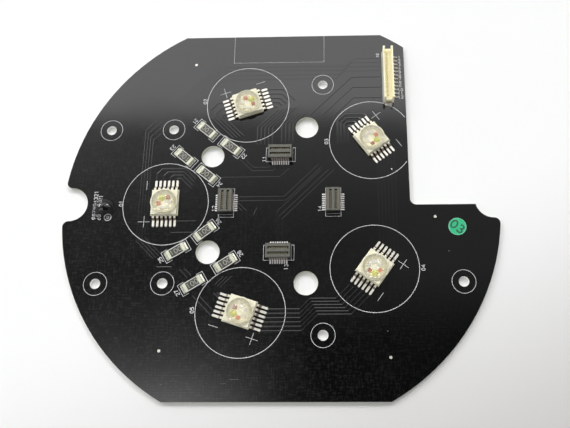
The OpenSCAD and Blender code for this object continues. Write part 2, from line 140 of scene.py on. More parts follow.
# %% Shader helpers
class Wire:
    """One output socket that can stand in a sum."""

    def __init__(self, graph, socket):
        self.graph = graph
        self.socket = socket

    def _math(self, operation, first, second=0.0):
        return self.graph.node("Math", {"operation": operation}, {0: first, 1: second})

    def __add__(self, other):
        return self._math("ADD", self, other)

    def __sub__(self, other):
        return self._math("SUBTRACT", self, other)

    def __rsub__(self, other):
        return self._math("SUBTRACT", other, self)

    def __mul__(self, other):
        return self._math("MULTIPLY", self, other)

    def __truediv__(self, other):
        return self._math("DIVIDE", self, other)

    def __pow__(self, other):
        return self._math("POWER", self, other)

    def __abs__(self):
        return self._math("ABSOLUTE", self)

    def at_least(self, other):
        return self._math("MAXIMUM", self, other)

    def at_most(self, other):
        return self._math("MINIMUM", self, other)

    def above(self, other):
        return self._math("GREATER_THAN", self, other)

    __radd__ = __add__
    __rmul__ = __mul__


class Graph:
    """The nodes of one material or of the world."""

    def __init__(self, tree):
        self.tree = tree
        tree.nodes.clear()

    def feed(self, socket, value):
        if isinstance(value, Wire):
            self.tree.links.new(value.socket, socket)
        elif isinstance(value, (tuple, list)) and len(value) == 3 and socket.type == "RGBA":
            socket.default_value = (*value, 1)
        else:
            socket.default_value = value

    def node(self, kind, settings=None, inputs=None, output=0):
        made = self.tree.nodes.new("ShaderNode" + kind)
        for key, value in (settings or {}).items():
            if key == "stops":
                ramp = made.color_ramp.elements
                while len(ramp) < len(value):
                    ramp.new(0.5)
                for element, (position, colour) in zip(ramp, value):
                    element.position = position
                    element.color = (*colour, 1)
            elif key == "constant_ramp":
                made.color_ramp.interpolation = "CONSTANT"
            else:
                setattr(made, key, value)
        for key, value in (inputs or {}).items():
            self.feed(made.inputs[key], value)
        return Wire(self, made.outputs[output])

    def ramp(self, value, low, high, to_low=0.0, to_high=1.0):
        """Smooth step: to_low where value is under low, to_high where it is over high."""
        inputs = {"Value": value, "From Min": low, "From Max": high, "To Min": to_low, "To Max": to_high}
        return self.node("MapRange", {"interpolation_type": "SMOOTHSTEP"}, inputs)

    def blend(self, factor, first, second):
        """Colour that goes from first to second."""
        return self.node("Mix", {"data_type": "RGBA"}, {0: factor, 6: first, 7: second}, output=2)

    def place(self):
        """Object coordinates in millimetres."""
        coordinates = self.node("TexCoord", output=3)
        return self.node("VectorMath", {"operation": "SCALE"}, {0: coordinates, "Scale": 1 / MM})

    def split(self, vector):
        made = self.tree.nodes.new("ShaderNodeSeparateXYZ")
        self.feed(made.inputs[0], vector)
        return [Wire(self, output) for output in made.outputs]

    def vector(self, x, y, z=0.0):
        return self.node("CombineXYZ", inputs={"X": x, "Y": y, "Z": z})

    def facing(self):
        """How far the face points up, from -1 to 1."""
        return self.split(self.node("NewGeometry", output=1))[2]

    def noise(self, place, scale, detail=2.0, roughness=0.5):
        """Cloudy values round one half, with scale features to the millimetre."""
        inputs = {"Vector": place, "Scale": scale, "Detail": detail, "Roughness": roughness}
        return self.node("TexNoise", inputs=inputs)

    def drift(self, cloud, first, second):
        """A number or a colour that goes from first to second as a noise goes from low to high."""
        if isinstance(first, tuple):
            return self.blend(self.ramp(cloud, 0.3, 0.7), first, second)
        return self.ramp(cloud, 0.3, 0.7, first, second)

    def bump(self, height, strength, distance=0.00005):
        return self.node("Bump", inputs={"Strength": strength, "Distance": distance, "Height": height})


def finish(name, paint):
    """A material whose Principled sockets are what paint(graph) returns, by socket name."""
    material = bpy.data.materials.new(name)
    material.use_nodes = True
    graph = Graph(material.node_tree)
    shader = material.node_tree.nodes.new("ShaderNodeBsdfPrincipled")
    out = material.node_tree.nodes.new("ShaderNodeOutputMaterial")
    material.node_tree.links.new(shader.outputs[0], out.inputs["Surface"])
    for key, value in paint(graph).items():
        graph.feed(shader.inputs[key], value)
    return material


def dress(material, *names):
    """Gives CAD nodes one material."""
    for name in names:
        nodes[name].data.materials.clear()
        nodes[name].data.materials.append(material)


def from_nearest(x, y, places):
    """Distance to the nearest of some places: the least of the lengths of (x - place x, y - place y)."""
    nearest = 1000.0
    for place_x, place_y in places:
        across, along = x - float(place_x), y - float(place_y)
        nearest = ((across * across + along * along) ** 0.5).at_most(nearest)
    return nearest


# %% [markdown]
# ## Solder mask and laminate
# The board is glass cloth in resin, under a skin of black solder mask. The mask is glossy and nearly
# black, so most of what shows is the room in it. Three things keep it from being a mirror: the cloth's
# weave telegraphs through, dust lies on it in specks and along the threads, and handling leaves duller
# patches. On the rim and in the holes the mask ends, and the sawn laminate shows as pale yellow-green
# layers. The screw holes are plated. One material does all this, because the solid is one piece: the way
# a face points and its place tell which is which. The tracks under the mask share its finish.

# %% Solder mask
MASK_BLACK = (0.0028, 0.0029, 0.0032)
MASK_OVER_COPPER = (0.0056, 0.0057, 0.0059)
DUST = (0.11, 0.11, 0.105)
LAMINATE, LAMINATE_DARK = (0.72, 0.72, 0.62), (0.54, 0.55, 0.45)
HOLE_TIN, HOLE_REACH = (0.93, 0.93, 0.90), 2.2
WEAVE_PITCH = 0.9
ALONG_THREAD, ACROSS_THREAD = 0.35, 1.7
SPECK_SHARE, HAZE_SHARE, THREAD_SHARE = 0.45, 0.035, 0.12
ROUGH_CLEAN, ROUGH_HANDLED = 0.08, 0.12
MASK_SKIN = 0.05


def weave(graph, place):
    """Height of plain-woven cloth under the mask: a pillow between every two threads each way,
    |sin(pi x / pitch)| + |sin(pi y / pitch)|."""
    x, y, _ = graph.split(place)
    turn = math.pi / WEAVE_PITCH
    across = graph.node("Math", {"operation": "SINE"}, {0: x * turn})
    along = graph.node("Math", {"operation": "SINE"}, {0: y * turn})
    return abs(across) + abs(along)


def cloth(graph, x, y):
    """Dust that lies along the cloth's threads: one noise drawn out along x and one along y."""
    warp = graph.noise(graph.vector(x * ALONG_THREAD, y * ACROSS_THREAD), 1.0, 3.0, 0.7)
    weft = graph.noise(graph.vector(x * ACROSS_THREAD, y * ALONG_THREAD, 7.0), 1.0, 3.0, 0.7)
    return graph.ramp(warp + weft, 0.94, 1.22)


def dusty(graph, place, tone):
    """A tone under dust, which is thickest towards the lower left of the board."""
    x, y, _ = graph.split(place)
    cells = graph.node("TexVoronoi", {"feature": "F1"}, {"Vector": place, "Scale": 1.3})
    fine = graph.noise(place, 5.0, 3.0, 0.7)
    spread = graph.ramp(x + y, 10, -80, 0.10, 1.0)
    specks = graph.ramp(cells, 0.10, 0.05) * graph.ramp(fine, 0.50, 0.62) * spread
    haze = graph.ramp(graph.noise(place, 0.07, 4.0, 0.6), 0.42, 0.72) * spread
    threads = cloth(graph, x, y) * graph.ramp(x + y, 40, -80, 0.1, 1.0)
    cover = specks * SPECK_SHARE + haze * HAZE_SHARE + threads * THREAD_SHARE
    return graph.blend(cover.at_most(1.0), tone, DUST)


def mask_surface(graph, place, tone):
    """Dusty and glossy, with duller patches where it was handled, over the weave."""
    patches = graph.noise(place, 0.05, 3.0, 0.6)
    return {
        "Base Color": dusty(graph, place, tone),
        "Roughness": graph.ramp(patches, 0.35, 0.75, ROUGH_CLEAN, ROUGH_HANDLED),
        "Normal": graph.bump(weave(graph, place), 0.02),
        "IOR": 1.5,
    }


def paint_board(graph):
    """Mask on the faces that point up or down and on a thin edge above and below; sawn laminate between,
    and tin instead of laminate within HOLE_REACH of a screw hole's middle."""
    place = graph.place()
    x, y, z = graph.split(place)
    layers = graph.noise(graph.vector(x * 0.4, y * 0.4, z * 6.0), 1.0, 2.0)
    sawn = graph.blend(layers, LAMINATE_DARK, LAMINATE)
    sawn = graph.blend(from_nearest(x, y, screw_holes).above(HOLE_REACH), HOLE_TIN, sawn)
    inside = z.above(MASK_SKIN) * (1 - z.above(float(board_top) - MASK_SKIN))
    mask = abs(graph.facing()).above(0.5).at_least(1 - inside)
    surface = mask_surface(graph, place, MASK_BLACK)
    surface["Base Color"] = graph.blend(mask, sawn, surface["Base Color"])
    surface["Roughness"] = mask * surface["Roughness"] + (1 - mask) * 0.7
    return surface


def paint_track(graph):
    return mask_surface(graph, graph.place(), MASK_OVER_COPPER)


solder_mask = finish("solder_mask", paint_board)
covered_copper = finish("covered_copper", paint_track)
dress(solder_mask, "circuit_board")
print("mask over", len(nodes["circuit_board"].data.polygons), "faces of the board")

# %% [markdown]
# ## Lines that stand on the board
# Ink and tracks are both thin lines with a body: a bead of known width and height carried along a path.
# Making them as meshes keeps their edges sharp from any distance, and their shoulders catch the light as
# the real ones do. One function makes every bead, and many beads are joined into one piece. The faces of
# a bead lie between rings of points, as those of a solder mound or a turned dome do, so one function gives
# the faces of them all.


# %% Beads along paths
def arc(cx, cy, rx, ry, start, end, steps=12):
    """Points of an ellipse round (cx, cy): cx + rx cos a, cy + ry sin a, for a from start to end."""
    a = np.radians(np.linspace(start, end, steps + 1))
    return np.stack([cx + rx * np.cos(a), cy + ry * np.sin(a)], axis=1)


def circle(cx, cy, r, steps=96):
    return arc(cx, cy, r, r, 0, 360, steps)[:-1]


def turned(path, at, angle, scale=1.0):
    """The path scaled, turned by angle and moved, so that its origin lands on at."""
    a = math.radians(angle)
    turn = np.array([[math.cos(a), math.sin(a)], [-math.sin(a), math.cos(a)]])
    return np.asarray(path, float) * scale @ turn + np.asarray(at, float)


def wrap(rings, sides, closed=False):
    """Corner numbers of the faces between each ring of points and the next: a point, its neighbour on the
    ring, and the same two on the next ring in turn. On a closed path the last ring meets the first."""
    ring = np.arange(rings if closed else rings - 1)[:, None]
    here, there = ring * sides, (ring + 1) % rings * sides
    k = np.arange(sides)[None, :]
    after = (k + 1) % sides
    return np.stack([here + k, here + after, there + after, there + k], axis=2).reshape(-1, 4)


def bead(path, width, height, closed=False, base=None, flat_share=0.6):
    """A closed bead over a path. Its section goes from one edge up over two shoulders to the other, at
    path + s * width / 2 * normal for s in -1, -flat_share, flat_share and 1, and heights 0, 1, 1 and 0
    times height.
    At a corner the normal is the mean of its neighbours, stretched by one over its length squared."""
    path = np.asarray(path, float)
    base = float(board_top) if base is None else base
    if closed:
        before, after = np.roll(path, 1, 0), np.roll(path, -1, 0)
    else:
        before = np.vstack([2 * path[0] - path[1], path[:-1]])
        after = np.vstack([path[1:], 2 * path[-1] - path[-2]])
    normals = []
    for step in (path - before, after - path):
        step = step / np.linalg.norm(step, axis=1, keepdims=True)
        normals.append(np.stack([-step[:, 1], step[:, 0]], axis=1))
    mean = (normals[0] + normals[1]) / 2
    mean = mean / np.maximum((mean ** 2).sum(1, keepdims=True), 0.25)
    across = np.array([-1, -flat_share, flat_share, 1])
    up = np.array([0, 1, 1, 0])
    flat = path[:, None, :] + across[None, :, None] * width / 2 * mean[:, None, :]
    rise = np.broadcast_to(base + up * height, flat.shape[:2])
    verts = np.concatenate([flat, rise[:, :, None]], axis=2).reshape(-1, 3)
    rings, sides = len(path), len(across)
    faces = wrap(rings, sides, closed).tolist()
    if not closed:
        last = (rings - 1) * sides
        faces += [[3, 2, 1, 0], [last, last + 1, last + 2, last + 3]]
    return verts, faces


def join(shapes):
    """Several shapes as one: their vertices in a row, and their faces' numbers moved along."""
    verts, faces, start = [], [], 0
    for points, polygons in shapes:
        verts.append(points)
        faces += [[index + start for index in polygon] for polygon in polygons]
        start += len(points)
    return np.concatenate(verts), faces


def make_piece(name, shape, material, smooth=False):
    """A mesh object that rides on the board, from vertices in millimetres."""
    verts, faces = shape
    mesh = bpy.data.meshes.new(name)
    mesh.from_pydata((verts * MM).tolist(), [], faces)
    mesh.polygons.foreach_set("use_smooth", [smooth] * len(faces))
    mesh.materials.append(material)
    mesh.update()
    piece = bpy.data.objects.new(name, mesh)
    bpy.context.scene.collection.objects.link(piece)
    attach(piece, "root")
    print(f"{name}: {len(verts)} vertices, {len(faces)} faces")
    return piece


# %% [markdown]
# ## Tracks
# A track is a strip of copper under the mask. The mask levels most of its height, so it shows only as a
# line with a faintly bright or dark shoulder. Tracks run in buses: parallel lines that turn together. Two
# outer lines give a whole bus, because each line between them lies at its share of the way. Each bus has
# its own number of lines and their width. A bus that starts at a row of leads may have fewer lines than
# the row, each wide enough to show in a small picture. A track's shoulders are broad and low: they mirror
# another part of the room than the flat board does.

# %% Tracks
TRACK_FLAT, TRACK_RISE = 0.3, 0.06
SIGNAL_WIDTH = 0.25
BUSES = {
    "lower_leds": (6, 0.65, [(-3.0, -37.3), (7.3, -37.3), (10.8, -33.8), (19.4, -33.8), (24.0, -29.2)],
                   [(-5.2, -44.4), (8.0, -44.4), (13.3, -39.1), (24.4, -39.1), (30.6, -32.9)]),
    "header_far": (4, 0.2, [(36.6, 56.6), (27.0, 56.6), (24.0, 53.6), (-24.0, 53.6), (-49.2, 28.4),
                            (-49.2, -13.4), (-42.8, -19.8)],
                   [(36.6, 51.4), (23.0, 51.4), (20.0, 48.4), (-22.0, 48.4), (-46.2, 24.2),
                    (-46.2, -12.2), (-39.8, -18.6)]),
    "led_3_left": (4, 0.65, [(30.4, 33.0), (29.8, 33.5), (23.0, 33.5), (20.3, 30.8), (20.3, 22.3)],
                   [(25.0, 28.6), (24.7, 29.0), (24.4, 29.0), (24.0, 28.6), (24.0, 22.3)]),
    "led_2_right": (5, 0.65,
                    [(-5.2, 44.2), (0.5, 44.2), (5.2, 39.5), (5.2, 36.8), (-3.0, 28.6), (-3.0, 22.0)],
                    [(-2.9, 37.1), (-1.6, 37.1), (-1.2, 36.7), (-1.2, 35.9), (-8.4, 28.7), (-8.4, 22.0)]),
    "socket_1_back": (4, 0.6, [(0.3, 22.6), (0.3, 30.2), (4.2, 34.1)],
                      [(4.4, 22.6), (4.4, 30.1), (8.4, 34.1)]),
    "header_near": (3, 0.5, [(36.6, 40.4), (26.2, 40.4), (19.1, 33.3)],
                    [(36.6, 48.9), (25.7, 48.9), (10.4, 33.6)]),
    "led_2_left": (4, 0.65, [(-21.8, 39.0), (-23.2, 39.0), (-26.4, 35.8), (-26.4, 33.6), (-17.4, 24.6)],
                   [(-19.6, 31.9), (-19.7, 31.9), (-19.8, 31.8), (-19.8, 31.6), (-13.6, 25.4)]),
    "socket_1_front": (2, 0.28, [(-12.6, 16.2), (-9.6, 13.2), (-4.2, 13.2), (-2.6, 14.6)],
                       [(-14.4, 16.2), (-10.1, 11.9), (-2.6, 11.9), (0.2, 14.6)]),
    "socket_2_side": (2, 0.28, [(-14.4, -1.6), (-13.0, -3.0), (-13.0, -17.0)],
                      [(-14.4, -0.1), (-11.5, -3.0), (-11.5, -17.0)]),
    "led_1_top": (4, 0.42, [(-43.7, 8.8), (-43.7, 11.2), (-41.8, 13.1), (-34.0, 13.1), (-30.0, 9.1)],
                  [(-36.3, 8.8), (-36.3, 9.0), (-35.9, 9.4), (-35.3, 9.4), (-31.5, 5.6)]),
    "led_1_side": (2, 0.28, [(-33.5, -19.5), (-33.5, -23.5), (-30.6, -26.4)],
                   [(-32.0, -19.5), (-32.0, -23.0), (-29.4, -25.6)]),
    "led_5_left": (2, 0.35, [(-28.5, -32.5), (-21.8, -39.2)], [(-26.0, -32.8), (-21.2, -37.6)]),
    "led_5_top": (3, 0.5, [(-19.9, -33.0), (-21.2, -31.7), (-21.2, -29.0), (-18.4, -26.2)],
                  [(-18.9, -31.6), (-19.3, -31.2), (-19.3, -29.8), (-15.7, -26.2)]),
    "right_leds": (6, 0.45, [(34.3, -14.0), (34.3, 14.0)], [(40.3, -18.4), (40.3, 18.4)]),
}
SINGLE_TRACKS = [
    [(-14.4, 2.2), (1.6, 2.2), (13.4, 14.0)],
    [(-14.4, 0.75), (2.2, 0.75), (14.6, 13.15)], [(-21.0, 9.6), (0.0, 9.6), (3.4, 13.0)],
    [(-1.0, -13.5), (-1.0, -3.5), (14.5, 12.0)], [(-0.25, -13.5), (-0.25, -5.25), (17.0, 12.0)],
    [(1.0, -13.5), (1.0, -6.0), (19.0, 12.0)], [(-36.0, -6.4), (-29.0, -6.4)],
    [(-37.5, -10.5), (-29.5, -10.5)],
]


def bus(count, first, last):
    """Lines that share the way from first to last: first + k / (count - 1) * (last - first)."""
    share = np.linspace(0, 1, count)[:, None, None]
    return np.asarray(first) + share * (np.asarray(last) - np.asarray(first))


tracks = [(line, width) for count, width, *sides in BUSES.values() for line in bus(count, *sides)]
tracks += [(line, SIGNAL_WIDTH) for line in SINGLE_TRACKS]
strips = [bead(line, width, width * TRACK_RISE, flat_share=TRACK_FLAT) for line, width in tracks]
make_piece("tracks", join(strips), covered_copper)

# %% [markdown]
# ## Print
# White ink is screened on last: rings round the LEDs and screw holes, a plus and a minus at each LED,
# outlines round the resistors and sockets, and numbers. The numbers are drawn as a plotter would, with one
# pen stroke on a grid four wide and six high, because that is how such board lettering is made.

# %% Ink
INK, INK_WORN = (0.74, 0.75, 0.76), (0.42, 0.42, 0.43)
INK_H, THIN = 0.041, 0.18


def paint_ink(graph):
    thin = graph.noise(graph.place(), 3.0, 3.0, 0.7)
    tone = graph.blend(graph.ramp(thin, 0.30, 0.62), INK_WORN, INK)
    return {"Base Color": tone, "Roughness": 0.55, "Normal": graph.bump(thin, 0.25)}


def pen(path, width=THIN, closed=False):
    """A line of ink."""
    return bead(path, width, INK_H, closed)


ink = finish("white_ink", paint_ink)

DIGITS = {
    "0": [arc(2, 3, 2, 3, 0, 360, 20)],
    "1": [np.array([(0.6, 4.8), (2, 6), (2, 0)])],
    "2": [np.vstack([arc(2, 4.2, 1.9, 1.8, 165, -35, 10), [(0, 0), (4, 0)]])],
    "3": [np.vstack([arc(1.9, 4.5, 1.7, 1.5, 150, -80, 8), arc(1.9, 1.5, 2.1, 1.5, 80, -150, 10)])],
    "4": [np.array([(3, 0), (3, 6), (0, 1.9), (4, 1.9)])],
    "5": [np.vstack([[(3.8, 6), (0.6, 6), (0.4, 3.4)], arc(1.9, 2, 2, 2, 120, -150, 12)])],
    "6": [np.vstack([[(3.2, 6)], arc(2, 2, 2, 2, 170, -180, 18)])],
    "7": [np.array([(0, 6), (4, 6), (1.4, 0)])],
    "8": [arc(2, 4.5, 1.6, 1.5, -90, 270, 14), arc(2, 1.5, 2, 1.5, 90, 450, 16)],
    "9": [np.vstack([arc(2, 4, 2, 2, -10, 350, 18), [(0.8, 0)]])],
}
GLYPH_WIDE, GLYPH_HIGH, GLYPH_STEP = 4, 6, 5.6


def number(text, at, angle, height):
    """Pen strokes of a plain number, centred on at, with digits height tall and turned by angle."""
    shift = (GLYPH_STEP * (len(text) - 1) + GLYPH_WIDE) / 2
    strokes = []
    for index, digit in enumerate(text):
        for path in DIGITS[digit]:
            corner = [index * GLYPH_STEP - shift, -GLYPH_HIGH / 2]
            strokes.append(turned(path + corner, at, angle, height / GLYPH_HIGH))
    return strokes


def local(place, path):
    """A path given in a piece's own frame, laid on the board."""
    x, y, angle = place
    return turned(path, (x, y), angle)


# %% [markdown]
# The plus and the minus stand on the outer side of each LED, so their first coordinate is negative. The
# ring round the LED at the cut-out corner is broken where the board ends, so only the points on the board
# are kept and the bead starts behind the gap.

# %% Print round the LEDs and holes
RING_R, RING_W = 15.0, 0.23
SCREW_RING_R = 3.96
CUT_X, CUT_Y = 45.2, -1.2
SIGN_OUT, PLUS_SIDE, MINUS_SIDE, PLUS_ARM, MINUS_HALF = -7.1, -6.6, 6.9, 2.05, 1.7
SIGNS = [
    [(SIGN_OUT - PLUS_ARM, PLUS_SIDE), (SIGN_OUT + PLUS_ARM, PLUS_SIDE)],
    [(SIGN_OUT, PLUS_SIDE - PLUS_ARM), (SIGN_OUT, PLUS_SIDE + PLUS_ARM)],
    [(SIGN_OUT, MINUS_SIDE - MINUS_HALF), (SIGN_OUT, MINUS_SIDE + MINUS_HALF)],
]

rings, signs = [], []
for led in leds:
    ring = circle(*led[:2], RING_R, 144)
    inside = (ring[:, 0] < CUT_X - RING_W) | (ring[:, 1] < CUT_Y - RING_W)
    if not inside.all():
        behind_gap = int(np.flatnonzero(inside & ~np.roll(inside, 1))[0])
        ring = np.roll(ring, -behind_gap, axis=0)[:int(inside.sum())]
    rings.append(pen(ring, RING_W, closed=bool(inside.all())))
    signs += [pen(local(led, line)) for line in SIGNS]
rings += [pen(circle(x, y, SCREW_RING_R, 64), closed=True) for x, y in screw_holes]
make_piece("print_rings", join(rings), ink)
make_piece("print_polarity_signs", join(signs), ink)

# %% [markdown]
# A resistor has a bracket round each end, a socket a rectangle with a line near each end. One large
# rectangle, open at the top, one faint dash and one upright line by the header stand by themselves.

# %% Print round the resistors, sockets and header
RES_BOX, RES_ARM = (9.45, 4.25), 2.3
SOCKET_BOX, SOCKET_END = (10.4, 5.3), 8.5
OPEN_LEFT, OPEN_RIGHT, OPEN_LOW, OPEN_HIGH = -18.2, 15.5, 55.4, 66.5
DASH = [(-41.5, -22.6), (-36.2, -22.6)]
HEADER_LINE = [(37.04, 38.0), (37.04, 59.2)]
FAINT, FAINTER = 0.12, 0.07

outlines = []
half_l, half_w = RES_BOX[0] / 2, RES_BOX[1] / 2
for place in resistors:
    for side in (-1, 1):
        arm, end = side * (half_l - RES_ARM), side * half_l
        outlines.append(pen(local(place, [(arm, -half_w), (end, -half_w), (end, half_w), (arm, half_w)])))
half_l, half_w = SOCKET_BOX[0] / 2, SOCKET_BOX[1] / 2
for place in sockets:
    box = [(-half_l, -half_w), (half_l, -half_w), (half_l, half_w), (-half_l, half_w)]
    outlines.append(pen(local(place, box), closed=True))
    for end in (-SOCKET_END / 2, SOCKET_END / 2):
        outlines.append(pen(local(place, [(end, -half_w), (end, half_w)])))
outlines.append(pen([(OPEN_LEFT, OPEN_HIGH), (OPEN_LEFT, OPEN_LOW), (OPEN_RIGHT, OPEN_LOW),
                     (OPEN_RIGHT, OPEN_HIGH)], FAINT))
outlines.append(pen(DASH, FAINTER))
outlines.append(pen(HEADER_LINE))
make_piece("print_outlines", join(outlines), ink)

# %% [markdown]
# Every number is plain: the LEDs are 01 to 05, the sockets 11 to 14, the resistors 21 to 28, the header 10
# and its pins 12 to 1. Three columns of figures and a round mark stand near the left edge. A resistor's
# number stands off the end that has room: the outer end on the outer ones, the inner end on the inner ones.

# %% Numbers
LED_NUMBERS = [(-55.7, 0.15), (-28.2, 39.5), (16.3, 22.9), (48.6, -23.5), (-28.4, -37.4)]
SOCKET_NUMBERS = [(-5.8, 16.4), (-22.9, -2.0), (2.6, -23.0), (14.0, -2.4)]
HEADER_NUMBER = (35.5, 57.8)
NUMBER_H, HEADER_NUMBER_SHARE, PEN = 1.2, 0.8, 0.25
RES_NUMBER_OUT, OUTER_FROM = 5.9, 33
PIN_COUNT, PIN_PITCH = 12, 1.5
PIN_NUMBER_X, PIN_NUMBER_H, PIN_PEN = 43.5, 1.15, 0.24
CODE_COLUMNS = [(-64.8, 4.5, "123456789"), (-63.1, 2.9, "1234"), (-63.0, -4.1, "56")]
CODE_STEP, CODE_H, CODE_PEN = 1.2, 1.25, 0.28
ROUND_MARK, ROUND_MARK_RINGS = (-59.95, -4.8), [(1.2, 40), (0.45, 24)]
UPWARD = 90


def row(count, pitch):
    """Places in a row of equal steps, from its middle: (k - (count - 1) / 2) times the pitch."""
    return [(k - (count - 1) / 2) * pitch for k in range(count)]


strokes = []
for index, at in enumerate(LED_NUMBERS):
    strokes += number(f"0{index + 1}", at, UPWARD, NUMBER_H)
for index, at in enumerate(SOCKET_NUMBERS):
    strokes += number(f"1{index + 1}", at, UPWARD, NUMBER_H)
strokes += number("10", HEADER_NUMBER, UPWARD, HEADER_NUMBER_SHARE * NUMBER_H)
for index, place in enumerate(resistors):
    from_middle = math.hypot(*place[:2])
    points_out = math.hypot(*local(place, [(1, 0)])[0]) > from_middle
    along = RES_NUMBER_OUT if points_out == (from_middle > OUTER_FROM) else -RES_NUMBER_OUT
    strokes += number(f"2{index + 1}", local(place, [(along, 0)])[0], place[2] + UPWARD, NUMBER_H)
marks = [pen(path, PEN) for path in strokes]

pin_places = [header_y + step for step in row(PIN_COUNT, PIN_PITCH)]
for index, y in enumerate(pin_places):
    strokes = number(str(PIN_COUNT - index), (PIN_NUMBER_X, y), 0, PIN_NUMBER_H)
    marks += [pen(path, PIN_PEN) for path in strokes]
for x, top_y, text in CODE_COLUMNS:
    for index, digit in enumerate(text):
        at = (x, top_y - CODE_STEP * index)
        marks += [pen(path, CODE_PEN) for path in number(digit, at, UPWARD, CODE_H)]
marks += [pen(circle(*ROUND_MARK, r, steps), PEN, closed=True) for r, steps in ROUND_MARK_RINGS]
make_piece("print_numbers", join(marks), ink)

# %% [markdown]
# ## Metal
# Leads and end caps are copper alloy with a coat of tin, and where they meet the board they are wetted by
# solder. Tin from a bath is frosted: it scatters about as much light as it mirrors, so it is mixed from
# both. On a formed strip the bends and upright parts are painted darker than the flats, as painted shade.
# In the sockets' slots the contacts are painted dark, also painted shade, and the header's pins are painted
# cream, as painted light, so that their shaded sides don't read dark. How far a face points up tells a
# flat from an upright part, and its height tells a soldered foot from what is above.


# %% Metal finishes
def clouded(graph, grain, shade, colour, rough, depth):
    """One cloud drives the tone, the roughness and the bumps of a plated or cast surface."""
    cloud = graph.noise(graph.place(), grain, 3.0, 0.6)
    return {
        "Base Color": graph.drift(cloud, shade, colour),
        "Roughness": graph.drift(cloud, *rough),
        "Normal": graph.bump(cloud, depth),
    }


def frosted(name, colour, shade, rough, grain, depth, share=0.5):
    """A metal that mirrors its share of the light and scatters the rest."""
    def paint(graph):
        return clouded(graph, grain, shade, colour, rough, depth) | {"Metallic": share}
    return finish(name, paint)


def formed(name, foot, above, riser_painted_tone, change, share=0.6):
    """A bent strip: one tone on its foot, one on the flats above the height change, and one on the faces
    that don't point straight up. That last tone is painted shade on the leads and contacts and painted light
    on the header's pins.
    """
    def paint(graph):
        place = graph.place()
        cloud = graph.noise(place, 2.5, 3.0, 0.6)
        height_up = graph.split(place)[2] - float(board_top)
        tone = graph.blend(graph.ramp(height_up, change, change * 1.6), foot, above)
        return {
            "Base Color": graph.blend(graph.ramp(graph.facing(), 0.97, 0.70), tone, riser_painted_tone),
            "Metallic": share,
            "Roughness": graph.drift(cloud, 0.28, 0.44),
            "Normal": graph.bump(cloud, 0.25),
        }
    return finish(name, paint)


cap_tin = frosted("cap_tin", (0.70, 0.71, 0.57), (0.60, 0.61, 0.48), (0.34, 0.50), 2.5, 0.30, 0.35)
solder = frosted("solder", (0.80, 0.78, 0.71), (0.62, 0.60, 0.54), (0.22, 0.36), 1.5, 0.25)
dull_solder = frosted("dull_solder", (0.56, 0.56, 0.47), (0.40, 0.40, 0.34), (0.22, 0.36), 2.0, 0.25)
gold = frosted("bond_gold", (0.95, 0.74, 0.36), (0.88, 0.64, 0.28), (0.15, 0.25), 4.0, 0.10, 1.0)
bare_copper = frosted("bare_copper", (0.78, 0.75, 0.68), (0.62, 0.60, 0.53), (0.30, 0.45), 2.5, 0.20)
foot_solder = frosted("foot_solder", (0.97, 0.95, 0.94), (0.90, 0.87, 0.86), (0.30, 0.45), 2.0, 0.15, 0.15)
pad_solder = frosted("pad_solder", (0.42, 0.38, 0.37), (0.34, 0.31, 0.30), (0.30, 0.45), 2.0, 0.2, 0.2)
# The leads' bends and upright parts are painted darker than the flats: painted shade.
lead_tin = formed("lead_tin", (0.80, 0.77, 0.69), (0.72, 0.69, 0.58), (0.30, 0.24, 0.18), 0.35)
# The contacts are painted dark above their feet, as painted shade in the slots, and their upright parts
# darker than the feet, also painted shade.
contact_tin = formed("contact_tin", (0.97, 0.94, 0.91), (0.21, 0.185, 0.115), (0.55, 0.47, 0.45), 0.5, 0.2)
# The pins are painted cream above their feet: painted light, so that their shaded sides in the trough don't
# read dark.
pin_tin = formed("pin_tin", (0.40, 0.35, 0.34), (0.78, 0.72, 0.50), (0.82, 0.76, 0.52), 0.50, 0.15)
dress(lead_tin, "header_tabs", *[f"{name}_leads" for name in LEDS])
dress(cap_tin, *[f"{name}_caps" for name in RESISTORS])
dress(contact_tin, *[f"{name}_contacts" for name in SOCKETS])
dress(pin_tin, "header_contacts")
print("dressed in", ", ".join(metal.name for metal in (cap_tin, lead_tin, contact_tin, pin_tin)))

# %% [markdown]
# ## Solder joints
# A joint is a small mound with a rounded rectangular foot. Its height falls from the middle to nothing at
# the rim, so it can be worked out on a polar grid: the distance from the middle and the direction. Leads
# stand in two rows on either side of an LED or socket, so one function sets the joints of both.


# %% Solder joints
def mound(place, middle, half_x, half_y, height, rings=4, spokes=16):
    """A closed mound: at share r of the way out and direction a it lies at half_x r C(a), half_y r S(a),
    with C and S the cosine and sine raised to 0.6 with their sign kept, and height (1 - r^2)^0.7."""
    r = np.linspace(0, 1, rings + 1)[1:, None]
    a = np.radians(np.arange(spokes) * 360 / spokes)[None, :]
    c = np.sign(np.cos(a)) * np.abs(np.cos(a)) ** 0.6
    s = np.sign(np.sin(a)) * np.abs(np.sin(a)) ** 0.6
    x, y = half_x * r * c + middle[0], half_y * r * s + middle[1]
    z = np.broadcast_to(height * (1 - r ** 2) ** 0.7, x.shape)
    flat = local(place, np.stack([x.ravel(), y.ravel()], axis=1))
    top = local(place, [middle])
    verts = np.vstack([np.c_[flat, z.ravel() + board_top], np.c_[top, board_top + height]])
    # These rings go down from the top, so each face's corners are read the other way round to point out.
    faces = wrap(rings, spokes)[:, [0, 3, 2, 1]].tolist()
    peak = rings * spokes
    faces += [[peak, j, (j + 1) % spokes] for j in range(spokes)]
    faces.append(list(range(peak - spokes, peak))[::-1])
    return verts, faces


def two_rows(places, count, pitch, foot_y, joint, **grid):
    """A joint at each foot of two rows of leads: at the row's steps, and foot_y to either side."""
    return [mound(place, (step, side * foot_y), *joint, **grid)
            for place in places for step in row(count, pitch) for side in (-1, 1)]


